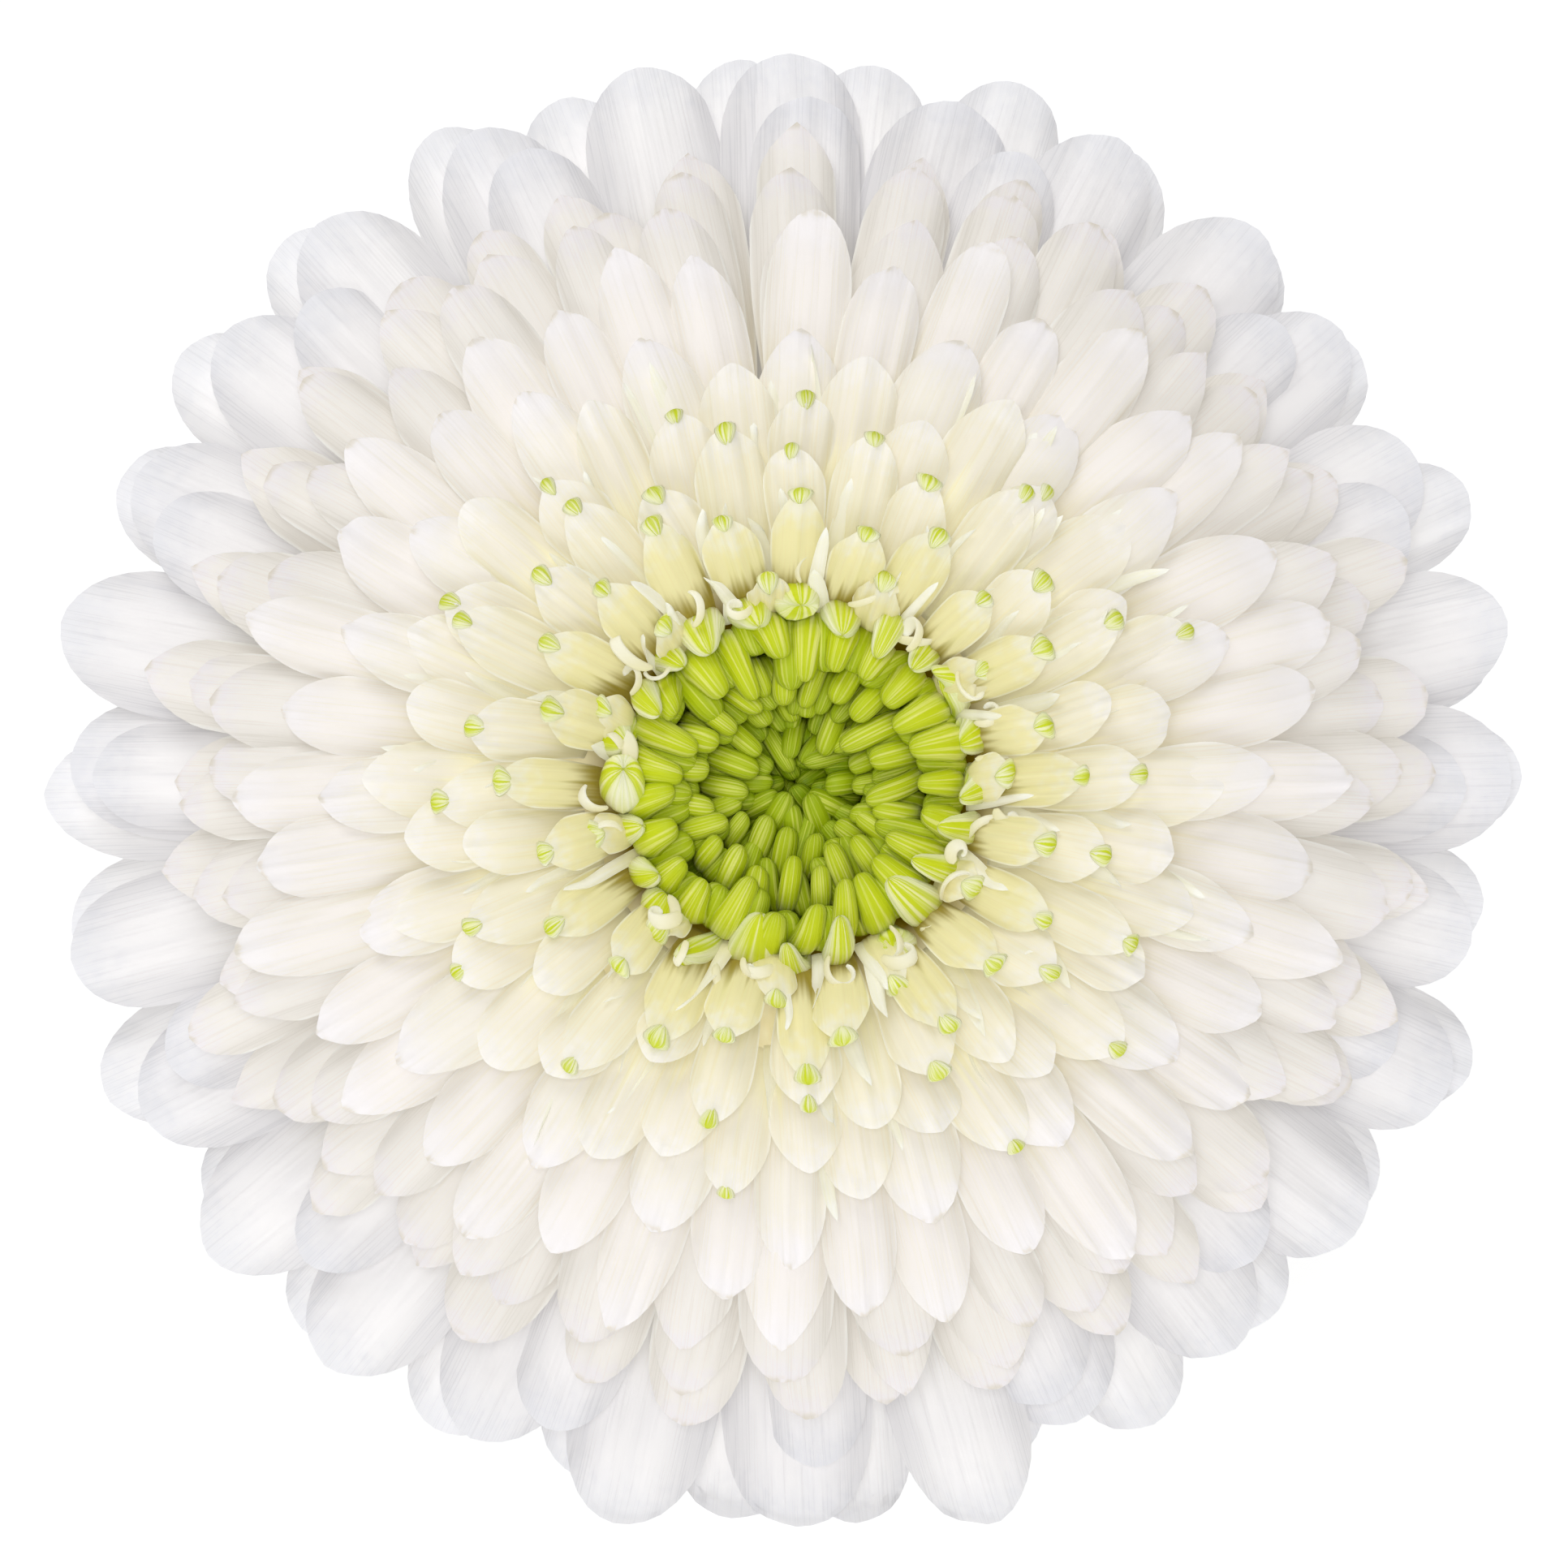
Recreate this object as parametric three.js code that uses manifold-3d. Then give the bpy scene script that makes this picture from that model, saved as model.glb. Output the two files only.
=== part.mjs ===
// A cut gerbera daisy, white and fully double with a green eye, lying on a table.
// Its head leans on its lowest ray petals, and its stem comes down behind it and lies
// along the table. Millimetres, +Z up. The flower looks towards -Y and a little up.

import * as THREE from 'three';
import { mergeVertices } from 'three/addons/utils/BufferGeometryUtils.js';
import Module from 'manifold-3d';

const wasm = await Module();
wasm.setup();

// How the flower lies: how far its face looks up, how far along the petals the table is from
// its axis, the arc of petals it rests on, and how far those reach into the table before they
// are cut off level with it
const FACE_LIFT = THREE.MathUtils.degToRad(28);
const TABLE_REACH = 52;
const PRESSED_ARC = THREE.MathUtils.degToRad(16);
const PRESSED_EXTRA = 0.5;

// How far off the middle of the head its eye is, and the gap between touching pieces
const EYE_OFFSET = 1.0;
const SEAM = 0.3;

// The stem: a neck, a straight stretch, a bend down to the table, and a stretch lying on it
const STEM_RADIUS = 3.3;
const NECK_RADIUS = 4.2;
const NECK_LENGTH = 24;
const STEM_UPPER = 14;
const STEM_LYING = 52;
const STEM_SIDE_BOW = 11;
const STEM_SIDES = 12;
const STEM_STEPS = 16;

// The flower's own frame has its axis along Z, out of its face, with the ray petals spread
// near Z = 0. Heights and radii from here to the rows are in it.
const SIDES = 24;
const CUP_BOTTOM = -16.6;
const CUP_FOOT = { radius: 4.6, height: CUP_BOTTOM };
const CUP_RIM = { radius: 12.9, height: -3.4 };
const CUP_TOP = { radius: 12.2, height: -1.7 };
const DISC_BOTTOM = { radius: 11.8, height: CUP_TOP.height + SEAM };
const DISC_TOP = { radius: 11.8, height: 2.3 };
const HEART_BOTTOM = { radius: 16.0, height: DISC_TOP.height + SEAM };
const CRATER_RIM = { radius: 12.4, height: 12.9 };
const CRATER_FLOOR = { radius: 10.4, height: 7.8 };
const EYE_BOTTOM = { radius: 10.0, height: CRATER_FLOOR.height + SEAM };
const EYE_RIM = { radius: 11.5, height: 11.5 };
const EYE_MIDDLE = 8.8;

// Rows of blades, from the back of the head to its eye. root, crown and tip are the points of
// a quadratic curve, as [distance from the axis, height]. width is a blade's widest, and
// spread is how much the reach of the tips varies. With a step, every second blade ends that
// much further in and higher than the row's tip, and the others as much further out and lower.
const RAY_ROWS = [
  { count: 30, width: 8.2, spread: 1.0, root: [12.1, -0.6], crown: [32, -1.8], tip: [51.6, -2.2] },
  { count: 28, width: 9.5, spread: 1.6, root: [12.4, 0.4], crown: [32, 0.7], tip: [51.4, -0.5] },
  { count: 16, width: 7.8, spread: 0.9, root: [12.1, 1.3], crown: [32, 2.7], tip: [47.8, 1.2] },
];
const INNER_ROWS = [
  {
    count: 36, width: 5.8, spread: 1.0,
    root: [24.2, 5.3], crown: [34.6, 5.9], tip: [44.9, 3.6],
  },
  {
    count: 36, width: 5.7, spread: 1.0,
    root: [24.4, 7.1], crown: [33.2, 8.6], tip: [43.0, 5.7],
  },
  {
    count: 32, width: 5.7, spread: 1.0,
    root: [24.0, 8.8], crown: [31.6, 11.2], tip: [41.0, 7.9],
  },
  {
    count: 40, width: 5.5, spread: 0.8, step: [1.3, 0.5],
    root: [22.4, 10.4], crown: [28.8, 14.0], tip: [37.8, 10.4],
  },
  {
    count: 20, width: 5.6, spread: 1.0,
    root: [20.4, 11.7], crown: [25.4, 15.9], tip: [32.4, 13.4],
  },
  {
    count: 36, width: 4.8, spread: 0.6, step: [1.2, 0.5],
    root: [18.5, 12.5], crown: [22.8, 16.7], tip: [27.8, 15.9],
  },
  {
    count: 28, width: 4.6, spread: 0.5, step: [1.2, 0.3],
    root: [16.3, 13.2], crown: [18.9, 17.6], tip: [23.4, 17.9],
  },
  {
    count: 24, width: 4.3, spread: 0.4, step: [1.0, 0.2],
    root: [14.7, 13.3], crown: [15.9, 18.1], tip: [18.9, 18.9],
  },
  {
    count: 14, width: 4.0, spread: 0.3,
    root: [13.4, 13.0], crown: [13.7, 16.4], tip: [15.0, 17.6],
  },
];
const BUD_ROWS = [
  { count: 26, width: 2.2, spread: 0.3, root: [11.0, 12.0], crown: [12.6, 15.2], tip: [10.5, 16.8] },
  { count: 24, width: 2.2, spread: 0.4, root: [9.9, 11.5], crown: [10.9, 14.7], tip: [7.4, 15.3] },
  { count: 20, width: 2.0, spread: 0.4, root: [8.4, 10.9], crown: [8.9, 13.5], tip: [5.4, 14.0] },
  { count: 16, width: 1.8, spread: 0.4, root: [6.8, 10.3], crown: [7.1, 12.6], tip: [3.9, 13.0] },
  { count: 12, width: 1.6, spread: 0.2, root: [5.1, 9.8], crown: [5.2, 11.8], tip: [2.7, 12.2] },
  { count: 8, width: 1.3, spread: 0.1, root: [3.4, 9.4], crown: [3.2, 10.7], tip: [1.5, 11.1] },
];
const BRACT_ROWS = [
  { count: 16, width: 3.0, spread: 0, root: [7.2, -14.8], crown: [12.2, -13.0], tip: [14.2, -8.8] },
  { count: 20, width: 2.9, spread: 0, root: [10.6, -11.2], crown: [13.6, -8.8], tip: [14.8, -5.0] },
  { count: 22, width: 2.7, spread: 0, root: [12.5, -7.2], crown: [13.9, -5.2], tip: [15.0, -2.6] },
];

// How each kind of blade is made. shape lists [place along the blade, share of its width].
// ridge is how far its middle stands out on the face towards the eye, keel on the other face,
// and roll is how far each blade tilts, so that it lies over the next one.
const RAY_KIND = {
  shape: [[0.3, 0.54], [0.66, 1], [0.86, 0.92], [0.95, 0.68], [1, 0.3]],
  ridge: 0.65,
  keel: 0.25,
  roll: 0.11,
};
const INNER_KIND = {
  shape: [[0.4, 0.74], [0.7, 1], [0.9, 0.86], [1, 0.4]], ridge: 0.75, keel: 0, roll: 0.13,
};
const BUD_KIND = {
  shape: [[0.5, 1], [0.86, 0.84], [1, 0.4]], ridge: 0.6, keel: 0.6, roll: 0,
};
const BRACT_KIND = { shape: [[0.5, 1], [1, 0.2]], ridge: 0, keel: 0.8, roll: 0 };
const ROOT_SHARE = 0.7;

// How unevenly the blades of a row grow, and the seed of each kind's first row
const UNEVEN = { place: 0.07, width: 0.06, roll: 0.3, height: 0.15 };
const SEED = { rays: 101, inner: 211, buds: 307, bracts: 401 };

// Corners closer than this are one
const WELD = 1e-4;

const WHITE = new THREE.MeshStandardMaterial({ color: 0xf4f2f3, roughness: 0.62, metalness: 0 });
const CREAM = new THREE.MeshStandardMaterial({ color: 0xf3eedd, roughness: 0.6, metalness: 0 });
const LIME = new THREE.MeshStandardMaterial({ color: 0x9bb82f, roughness: 0.5, metalness: 0 });
const LEAF = new THREE.MeshStandardMaterial({ color: 0x6d8f3c, roughness: 0.7, metalness: 0 });
const STALK = new THREE.MeshStandardMaterial({ color: 0x86a355, roughness: 0.65, metalness: 0 });

// Repeatable draws between low and high, from the minimal standard generator.
function seededDraws(seed) {
  const modulus = 2147483647;
  let state = seed;
  return (low, high) => {
    state = (state * 16807) % modulus;
    return low + ((high - low) * state) / modulus;
  };
}

// A closed skin that grows from loop to loop. Each loop runs once round the flower's axis, as
// a list of { at, angle }. Blades grow out of the skin, so they and the heart are one body.
class Skin {
  constructor() {
    this.points = [];
    this.faces = [];
    this.edge = [];
  }

  add(point) {
    return this.points.push(point) - 1;
  }

  ring({ radius, height }) {
    return Array.from({ length: SIDES }, (_, turn) => {
      const angle = (turn / SIDES) * 2 * Math.PI;
      const point = new THREE.Vector3(radius * Math.cos(angle), radius * Math.sin(angle), height);
      return { at: this.add(point), angle };
    });
  }

  // Starts as a disc that looks down the axis.
  start(disc) {
    this.edge = this.ring(disc);
    const middle = this.add(new THREE.Vector3(0, 0, disc.height));
    this.edge.forEach(({ at }, k) => this.faces.push(middle, this.after(k), at));
  }

  // Closes the edge to a point on the axis that looks up it.
  close(height) {
    const middle = this.add(new THREE.Vector3(0, 0, height));
    this.edge.forEach(({ at }, k) => this.faces.push(middle, at, this.after(k)));
  }

  after(k) {
    return this.edge[(k + 1) % this.edge.length].at;
  }

  // Fills from the edge to the next loop, which becomes the edge. Their counts may differ.
  reach(loop) {
    const edge = this.edge;
    const angleOf = (list, k) => list[k % list.length].angle
      + 2 * Math.PI * Math.floor(k / list.length);
    const pointOf = (list, k) => list[k % list.length].at;
    let near = 0;
    let far = 0;
    while (near < edge.length || far < loop.length) {
      const nearFirst = angleOf(edge, near + 1) <= angleOf(loop, far + 1);
      if (far === loop.length || (near < edge.length && nearFirst)) {
        this.faces.push(pointOf(edge, near), pointOf(edge, near + 1), pointOf(loop, far));
        near += 1;
      } else {
        this.faces.push(pointOf(edge, near), pointOf(loop, far + 1), pointOf(loop, far));
        far += 1;
      }
    }
    this.edge = loop;
  }

  // One blade through rings of points, the first at its root. Both faces fold along lines
  // that fan out from the blade's middle, so a thin blade never cuts itself.
  blade(rings, isMiddle) {
    const sides = isMiddle.length;
    for (let ring = 1; ring < rings.length; ring += 1) {
      for (let side = 0; side < sides; side += 1) {
        const next = (side + 1) % sides;
        const [a, b] = [rings[ring - 1][side], rings[ring - 1][next]];
        const [c, d] = [rings[ring][side], rings[ring][next]];
        this.faces.push(...(isMiddle[side] ? [a, b, d, a, d, c] : [a, b, c, b, d, c]));
      }
    }
    const tip = rings[rings.length - 1];
    for (let side = 1; side < sides - 1; side += 1) {
      this.faces.push(tip[0], tip[side], tip[side + 1]);
    }
  }

  geometry() {
    const corners = this.points.flatMap((point) => point.toArray());
    const geometry = new THREE.BufferGeometry();
    geometry.setAttribute('position', new THREE.Float32BufferAttribute(corners, 3));
    geometry.setIndex(this.faces);
    return geometry;
  }
}

// A point of a row's curve, with the direction round the axis (side) and the one square to
// both the curve and side, which looks towards the eye (face).
function station({ root, crown, tip }, angle, along) {
  const back = 1 - along;
  const place = (axis) => back * back * root[axis] + 2 * back * along * crown[axis]
    + along * along * tip[axis];
  const slope = (axis) => back * (crown[axis] - root[axis]) + along * (tip[axis] - crown[axis]);
  const outwards = new THREE.Vector3(Math.cos(angle), Math.sin(angle), 0);
  const side = new THREE.Vector3(-Math.sin(angle), Math.cos(angle), 0);
  const run = outwards.clone().multiplyScalar(slope(0)).setZ(slope(1)).normalize();
  const point = outwards.multiplyScalar(place(0)).setZ(place(1));
  return { point, side, face: new THREE.Vector3().crossVectors(run, side) };
}

// The corners of a blade's section as [share of its half width, lift], round from its ridge.
function section({ ridge, keel }) {
  const corners = [[0, ridge], [-1, 0], [0, -keel], [1, 0]];
  return corners.filter(([across, lift]) => across !== 0 || lift !== 0);
}

// Where the blades of a row stand round the axis: evenly, each a little off its place.
function anglesOf(row, draw) {
  const pitch = (2 * Math.PI) / row.count;
  const phase = draw(0, pitch);
  const turns = Array.from({ length: row.count }, (_, turn) => turn);
  return turns.map((turn) => phase + (turn + draw(-UNEVEN.place, UNEVEN.place)) * pitch);
}

// The rings of one blade beyond its root, as a list of points for each place along it. In a
// row with a step the blades have no roll: every second one already lies over its neighbours.
function bladeRings(row, turn, angle, kind, draw, reachOf) {
  const [out, up] = (row.step ?? [0, 0]).map((size) => (turn % 2 ? -size : size));
  const reach = reachOf(row, angle, out + draw(-row.spread, row.spread));
  const height = row.tip[1] - up + draw(-UNEVEN.height, UNEVEN.height);
  const half = (row.width / 2) * draw(1 - UNEVEN.width, 1 + UNEVEN.width / 2);
  const roll = draw(1 - UNEVEN.roll, 1 + UNEVEN.roll) * (row.step ? 0 : kind.roll);
  const line = {
    root: row.root,
    crown: [row.crown[0], row.crown[1] - up],
    tip: [reach, height],
  };
  return kind.shape.map(([along, share]) => {
    const { point, side, face } = station(line, angle, along);
    const [turnIn, turnUp] = [Math.cos(roll * along), Math.sin(roll * along)];
    const thin = ROOT_SHARE + (1 - ROOT_SHARE) * share;
    return section(kind).map(([across, lift]) => {
      const [wide, high] = [across * half * share, lift * thin];
      return point.clone().addScaledVector(side, wide * turnIn - high * turnUp)
        .addScaledVector(face, wide * turnUp + high * turnIn);
    });
  });
}

// Grows one row of blades out of the skin. Neighbours share their corners at the root.
function growRow(skin, row, kind, seed, reachOf = ({ tip }, angle, spread) => tip[0] + spread) {
  const draw = seededDraws(seed);
  const angles = anglesOf(row, draw);
  const corners = angles.map((angle, turn) => {
    const before = turn > 0 ? angles[turn - 1] : angles[row.count - 1] - 2 * Math.PI;
    const between = (angle + before) / 2;
    return { at: skin.add(station(row, between, 0).point), angle: between };
  });
  const outline = section(kind);
  const under = [];
  const over = [];
  const roots = angles.map((angle, turn) => {
    const [left, right] = [corners[turn], corners[(turn + 1) % row.count]];
    const { point, face } = station(row, angle, 0);
    under.push(left);
    over.push(left);
    return outline.map(([across, lift]) => {
      if (across !== 0) {
        return across < 0 ? left.at : right.at;
      }
      const middle = skin.add(point.clone().addScaledVector(face, lift * ROOT_SHARE));
      (lift > 0 ? over : under).push({ at: middle, angle });
      return middle;
    });
  });
  skin.reach(under);
  angles.forEach((angle, turn) => {
    const rings = bladeRings(row, turn, angle, kind, draw, reachOf);
    const indexed = rings.map((ring) => ring.map((point) => skin.add(point)));
    skin.blade([roots[turn], ...indexed], outline.map(([across]) => across === 0));
  });
  skin.edge = over;
}

// Reach of a ray: one under the head runs on to the table, which presses it flat.
function rayReach(row, angle, spread) {
  const down = -Math.PI / 2;
  const offLowest = Math.abs(Math.atan2(Math.sin(angle - down), Math.cos(angle - down)));
  if (offLowest < PRESSED_ARC && row.tip[0] + row.spread > TABLE_REACH) {
    return TABLE_REACH / Math.cos(offLowest) + PRESSED_EXTRA;
  }
  return row.tip[0] + spread - EYE_OFFSET * Math.cos(angle);
}

function rayPetals() {
  const skin = new Skin();
  skin.start(DISC_BOTTOM);
  RAY_ROWS.forEach((row, at) => growRow(skin, row, RAY_KIND, SEED.rays + at, rayReach));
  skin.reach(skin.ring(DISC_TOP));
  skin.close(DISC_TOP.height);
  return skin.geometry();
}

function innerPetals() {
  const skin = new Skin();
  skin.start(HEART_BOTTOM);
  INNER_ROWS.forEach((row, at) => growRow(skin, row, INNER_KIND, SEED.inner + at));
  skin.reach(skin.ring(CRATER_RIM));
  skin.reach(skin.ring(CRATER_FLOOR));
  skin.close(CRATER_FLOOR.height);
  return skin.geometry();
}

function eyeBuds() {
  const skin = new Skin();
  skin.start(EYE_BOTTOM);
  skin.reach(skin.ring(EYE_RIM));
  BUD_ROWS.forEach((row, at) => growRow(skin, row, BUD_KIND, SEED.buds + at));
  skin.close(EYE_MIDDLE);
  return skin.geometry();
}

function bractCup() {
  const skin = new Skin();
  skin.start(CUP_FOOT);
  BRACT_ROWS.forEach((row, at) => growRow(skin, row, BRACT_KIND, SEED.bracts + at));
  skin.reach(skin.ring(CUP_RIM));
  skin.reach(skin.ring(CUP_TOP));
  skin.close(CUP_TOP.height);
  return skin.geometry();
}

// The stem's middle line, from the cup down to the table and along it.
class StemLine extends THREE.Curve {
  constructor(top, tableHeight) {
    super();
    this.top = top;
    this.bendStart = top.clone().add(new THREE.Vector3(
      0,
      STEM_UPPER * Math.cos(FACE_LIFT),
      -STEM_UPPER * Math.sin(FACE_LIFT),
    ));
    this.bendRadius = (this.bendStart.z - tableHeight) / (1 - Math.cos(FACE_LIFT));
    this.bendLength = this.bendRadius * FACE_LIFT;
    this.total = STEM_UPPER + this.bendLength + STEM_LYING;
  }

  getPoint(share) {
    const run = share * this.total;
    const straight = Math.min(run, STEM_UPPER);
    const bent = THREE.MathUtils.clamp(run - STEM_UPPER, 0, this.bendLength) / this.bendRadius;
    const lying = Math.max(0, run - STEM_UPPER - this.bendLength);
    const slope = FACE_LIFT - bent;
    return new THREE.Vector3(
      STEM_SIDE_BOW * share * share,
      this.top.y + straight * Math.cos(FACE_LIFT)
        + this.bendRadius * (Math.sin(FACE_LIFT) - Math.sin(slope)) + lying,
      this.top.z - straight * Math.sin(FACE_LIFT)
        - this.bendRadius * (Math.cos(slope) - Math.cos(FACE_LIFT)),
    );
  }
}

// The stem turned straight about Y, then bent to lie along its middle line. It is turned by
// half a side, so a flat side lies on the table.
function stem(top) {
  const halfSide = Math.PI / STEM_SIDES;
  const line = new StemLine(top, STEM_RADIUS * Math.cos(halfSide));
  const profile = [new THREE.Vector2(0, 0)];
  for (let step = 0; step <= STEM_STEPS; step += 1) {
    const run = (step / STEM_STEPS) * line.total;
    const swell = Math.max(0, 1 - run / NECK_LENGTH);
    const radius = STEM_RADIUS + (NECK_RADIUS - STEM_RADIUS) * swell * swell;
    profile.push(new THREE.Vector2(radius, run));
  }
  profile.push(new THREE.Vector2(0, line.total));
  const geometry = new THREE.LatheGeometry(profile, STEM_SIDES).rotateY(halfSide);
  const corners = geometry.attributes.position;
  const corner = new THREE.Vector3();
  for (let k = 0; k < corners.count; k += 1) {
    corner.fromBufferAttribute(corners, k);
    const share = corner.y / line.total;
    const run = line.getTangent(share);
    const across = new THREE.Vector3(0, 0, 1).cross(run).normalize();
    const rise = new THREE.Vector3().crossVectors(run, across);
    const place = line.getPoint(share);
    place.addScaledVector(across, corner.z).addScaledVector(rise, corner.x);
    corners.setXYZ(k, place.x, place.y, place.z);
  }
  return geometry;
}

function toSolid(geometry) {
  const bare = geometry.clone();
  bare.deleteAttribute('normal');
  bare.deleteAttribute('uv');
  const merged = mergeVertices(bare, WELD);
  return new wasm.Manifold(new wasm.Mesh({
    numProp: 3,
    vertProperties: new Float32Array(merged.attributes.position.array),
    triVerts: new Uint32Array(merged.index.array),
  }));
}

// What is left above the table of a piece that placement puts there.
function aboveTable(geometry, placement) {
  const size = 4 * TABLE_REACH;
  const table = new THREE.BoxGeometry(size, size, size).translate(0, 0, -size / 2);
  table.applyMatrix4(placement.clone().invert());
  const { vertProperties, triVerts } = toSolid(geometry).subtract(toSolid(table)).getMesh();
  const cut = new THREE.BufferGeometry();
  cut.setAttribute('position', new THREE.Float32BufferAttribute(vertProperties, 3));
  cut.setIndex(new THREE.Uint32BufferAttribute(triVerts, 1));
  return cut;
}

function named(name, geometry, material) {
  const mesh = new THREE.Mesh(geometry, material);
  mesh.name = name;
  return mesh;
}

const head = new THREE.Group();
head.rotation.x = Math.PI / 2 - FACE_LIFT;
head.position.z = TABLE_REACH * Math.cos(FACE_LIFT);
head.updateMatrix();
head.add(named('ray_petals', aboveTable(rayPetals(), head.matrix), WHITE));
head.add(named('inner_petals', innerPetals(), CREAM));
head.add(named('eye_buds', eyeBuds(), LIME));
head.add(named('bract_cup', bractCup(), LEAF));

const stemTop = new THREE.Vector3(0, 0, CUP_BOTTOM - SEAM).applyMatrix4(head.matrix);
const flower = new THREE.Group();
flower.add(head, named('stem', stem(stemTop), STALK));

// The origin is under the middle of the whole flower, on the table.
const bounds = new THREE.Box3().setFromObject(flower, true);
const middle = bounds.getCenter(new THREE.Vector3());
flower.position.set(-middle.x, -middle.y, -bounds.min.z);

export default flower;
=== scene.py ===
# %% [markdown]
# # A white gerbera daisy, cut and laid on a table
#
# A gerbera isn't one flower. Its head is some four hundred small ones, the florets, that stand on one
# fleshy disc. The outer ones each grow a broad petal, the ray. The inner ones grow narrower tongues,
# row over row, and the youngest in the middle are still closed buds.
#
# The solids of the flower are loaded first and never move. Each piece made here stands for one of
# them and keeps its place and form, or adds a detail that the solids leave out.

# %% Load the solids
import math
from collections import namedtuple

import bpy
import numpy as np
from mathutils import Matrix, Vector


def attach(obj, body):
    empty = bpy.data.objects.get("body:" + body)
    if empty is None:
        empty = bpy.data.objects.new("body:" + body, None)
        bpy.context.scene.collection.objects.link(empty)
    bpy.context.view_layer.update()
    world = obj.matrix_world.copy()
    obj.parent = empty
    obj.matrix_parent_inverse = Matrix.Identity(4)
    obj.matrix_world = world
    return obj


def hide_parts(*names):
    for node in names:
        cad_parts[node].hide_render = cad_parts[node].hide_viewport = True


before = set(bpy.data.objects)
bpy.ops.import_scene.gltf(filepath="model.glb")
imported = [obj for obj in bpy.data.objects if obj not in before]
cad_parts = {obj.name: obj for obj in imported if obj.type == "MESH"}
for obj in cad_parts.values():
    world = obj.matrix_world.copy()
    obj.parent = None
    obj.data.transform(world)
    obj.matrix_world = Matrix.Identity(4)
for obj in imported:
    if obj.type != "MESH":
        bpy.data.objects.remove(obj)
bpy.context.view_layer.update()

MM = 0.001
print("solids:", sorted(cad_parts))

# %% [markdown]
# ## The flower's own frame
#
# Petals are easiest to think of with the flower on its back, its axis straight up. So they are
# worked out that way, in millimetres, and then tipped up in one step, so that the face looks 28
# degrees up. The foot of the cup is a flat disc square to the axis, so the mean of its corners in
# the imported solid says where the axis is.

# %% Find the flower's axis
FACE_LIFT = math.radians(28)
CUP_BOTTOM = -16.6
LEVEL = 0.01

AXIS = np.array([0.0, -math.cos(FACE_LIFT), math.sin(FACE_LIFT)])
FLOWER_AXES = np.array([[1.0, 0.0, 0.0], [0.0, math.sin(FACE_LIFT), math.cos(FACE_LIFT)], AXIS])

corners = np.array([v.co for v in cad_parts["bract_cup"].data.vertices]) / MM
heights = corners @ AXIS
foot = np.unique(corners[heights < heights.min() + LEVEL].round(3), axis=0)
FLOWER_MIDDLE = foot.mean(axis=0) - CUP_BOTTOM * AXIS


def in_place(points):
    """Points of the flower's own frame, tipped up to where the flower is, in millimetres."""
    return points @ FLOWER_AXES + FLOWER_MIDDLE


def unit(vectors):
    """Vectors that point the same way and are 1 long."""
    return vectors / np.linalg.norm(vectors, axis=-1, keepdims=True)


print("the flower's middle is at", FLOWER_MIDDLE.round(2), "mm")

# %% [markdown]
# ## The camera
#
# The photograph looks straight into the flower's face, so the camera looks along the axis. A long
# lens from 0.6 m keeps the dome from looking swollen. How wide the picture is at the ray petals
# follows from the size of one photo pixel.

# %% Set up the camera
PHOTO_SIDE = 1932
PHOTO_PIXEL = 0.0572
PICTURE_WIDTH = PHOTO_SIDE * PHOTO_PIXEL
CAMERA_DISTANCE = 600.0
CAMERA_AIM = np.array([-0.8, -0.06, 0.0])
SENSOR = 36.0

scene = bpy.context.scene


def add_object(name, data):
    """A new object in the scene, for a mesh, a lamp or a camera."""
    made = bpy.data.objects.new(name, data)
    scene.collection.objects.link(made)
    return made


camera = add_object("camera", bpy.data.cameras.new("camera"))
scene.camera = camera
camera.data.sensor_width = SENSOR
camera.data.lens = SENSOR * CAMERA_DISTANCE / PICTURE_WIDTH
camera.data.clip_start = 0.01
camera.location = in_place(CAMERA_AIM + [0.0, 0.0, CAMERA_DISTANCE]) * MM
camera.rotation_euler = (math.pi / 2 - FACE_LIFT, 0.0, 0.0)
print("lens", round(camera.data.lens, 1), "mm, picture width", round(PICTURE_WIDTH, 1), "mm")

# %% [markdown]
# ## Light
#
# White petals show their form only through soft shade, so light comes from nearly everywhere: a
# bright plain room, a soft lamp at the camera, a stronger one above and a weak one behind, which
# shines through the outer petals. The Standard view keeps white as white, where the filmic views
# turn it grey. Light goes from petal to petal many times. Only three such bounces are worked out,
# and the petals' finish makes up for the rest.

# %% Hang the lamps
ROOM_LIGHT = 0.32
LAMP_DISTANCE = 0.85
LAMPS = {
    "lamp_face": ((-0.06, 0.08, 1.0), 0.3, 1.95),
    "lamp_above": ((-0.35, 1.0, 0.75), 0.5, 2.25),
    "lamp_back": ((0.5, 0.7, -0.9), 0.6, 1.0),
}
BOUNCES = {"diffuse_bounces": 3, "glossy_bounces": 1, "transmission_bounces": 2, "max_bounces": 4}
WHITE = (1.0, 1.0, 1.0, 1.0)

for name, (direction, size, power) in LAMPS.items():
    lamp = add_object(name, bpy.data.lights.new(name, "AREA"))
    towards = unit(np.array(direction)) @ FLOWER_AXES
    lamp.data.size = size
    lamp.data.energy = power
    lamp.location = FLOWER_MIDDLE * MM + towards * LAMP_DISTANCE
    lamp.rotation_euler = Vector(towards).to_track_quat("Z", "Y").to_euler()

room = bpy.data.worlds.new("room")
room.use_nodes = True
walls = room.node_tree.nodes["Background"].inputs
walls["Color"].default_value = WHITE
walls["Strength"].default_value = ROOM_LIGHT
room.cycles.sampling_method = "NONE"
scene.world = room
scene.view_settings.view_transform = "Standard"
for kind_of_light, most in BOUNCES.items():
    setattr(scene.cycles, kind_of_light, most)
print("lamps:", list(LAMPS))

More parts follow.
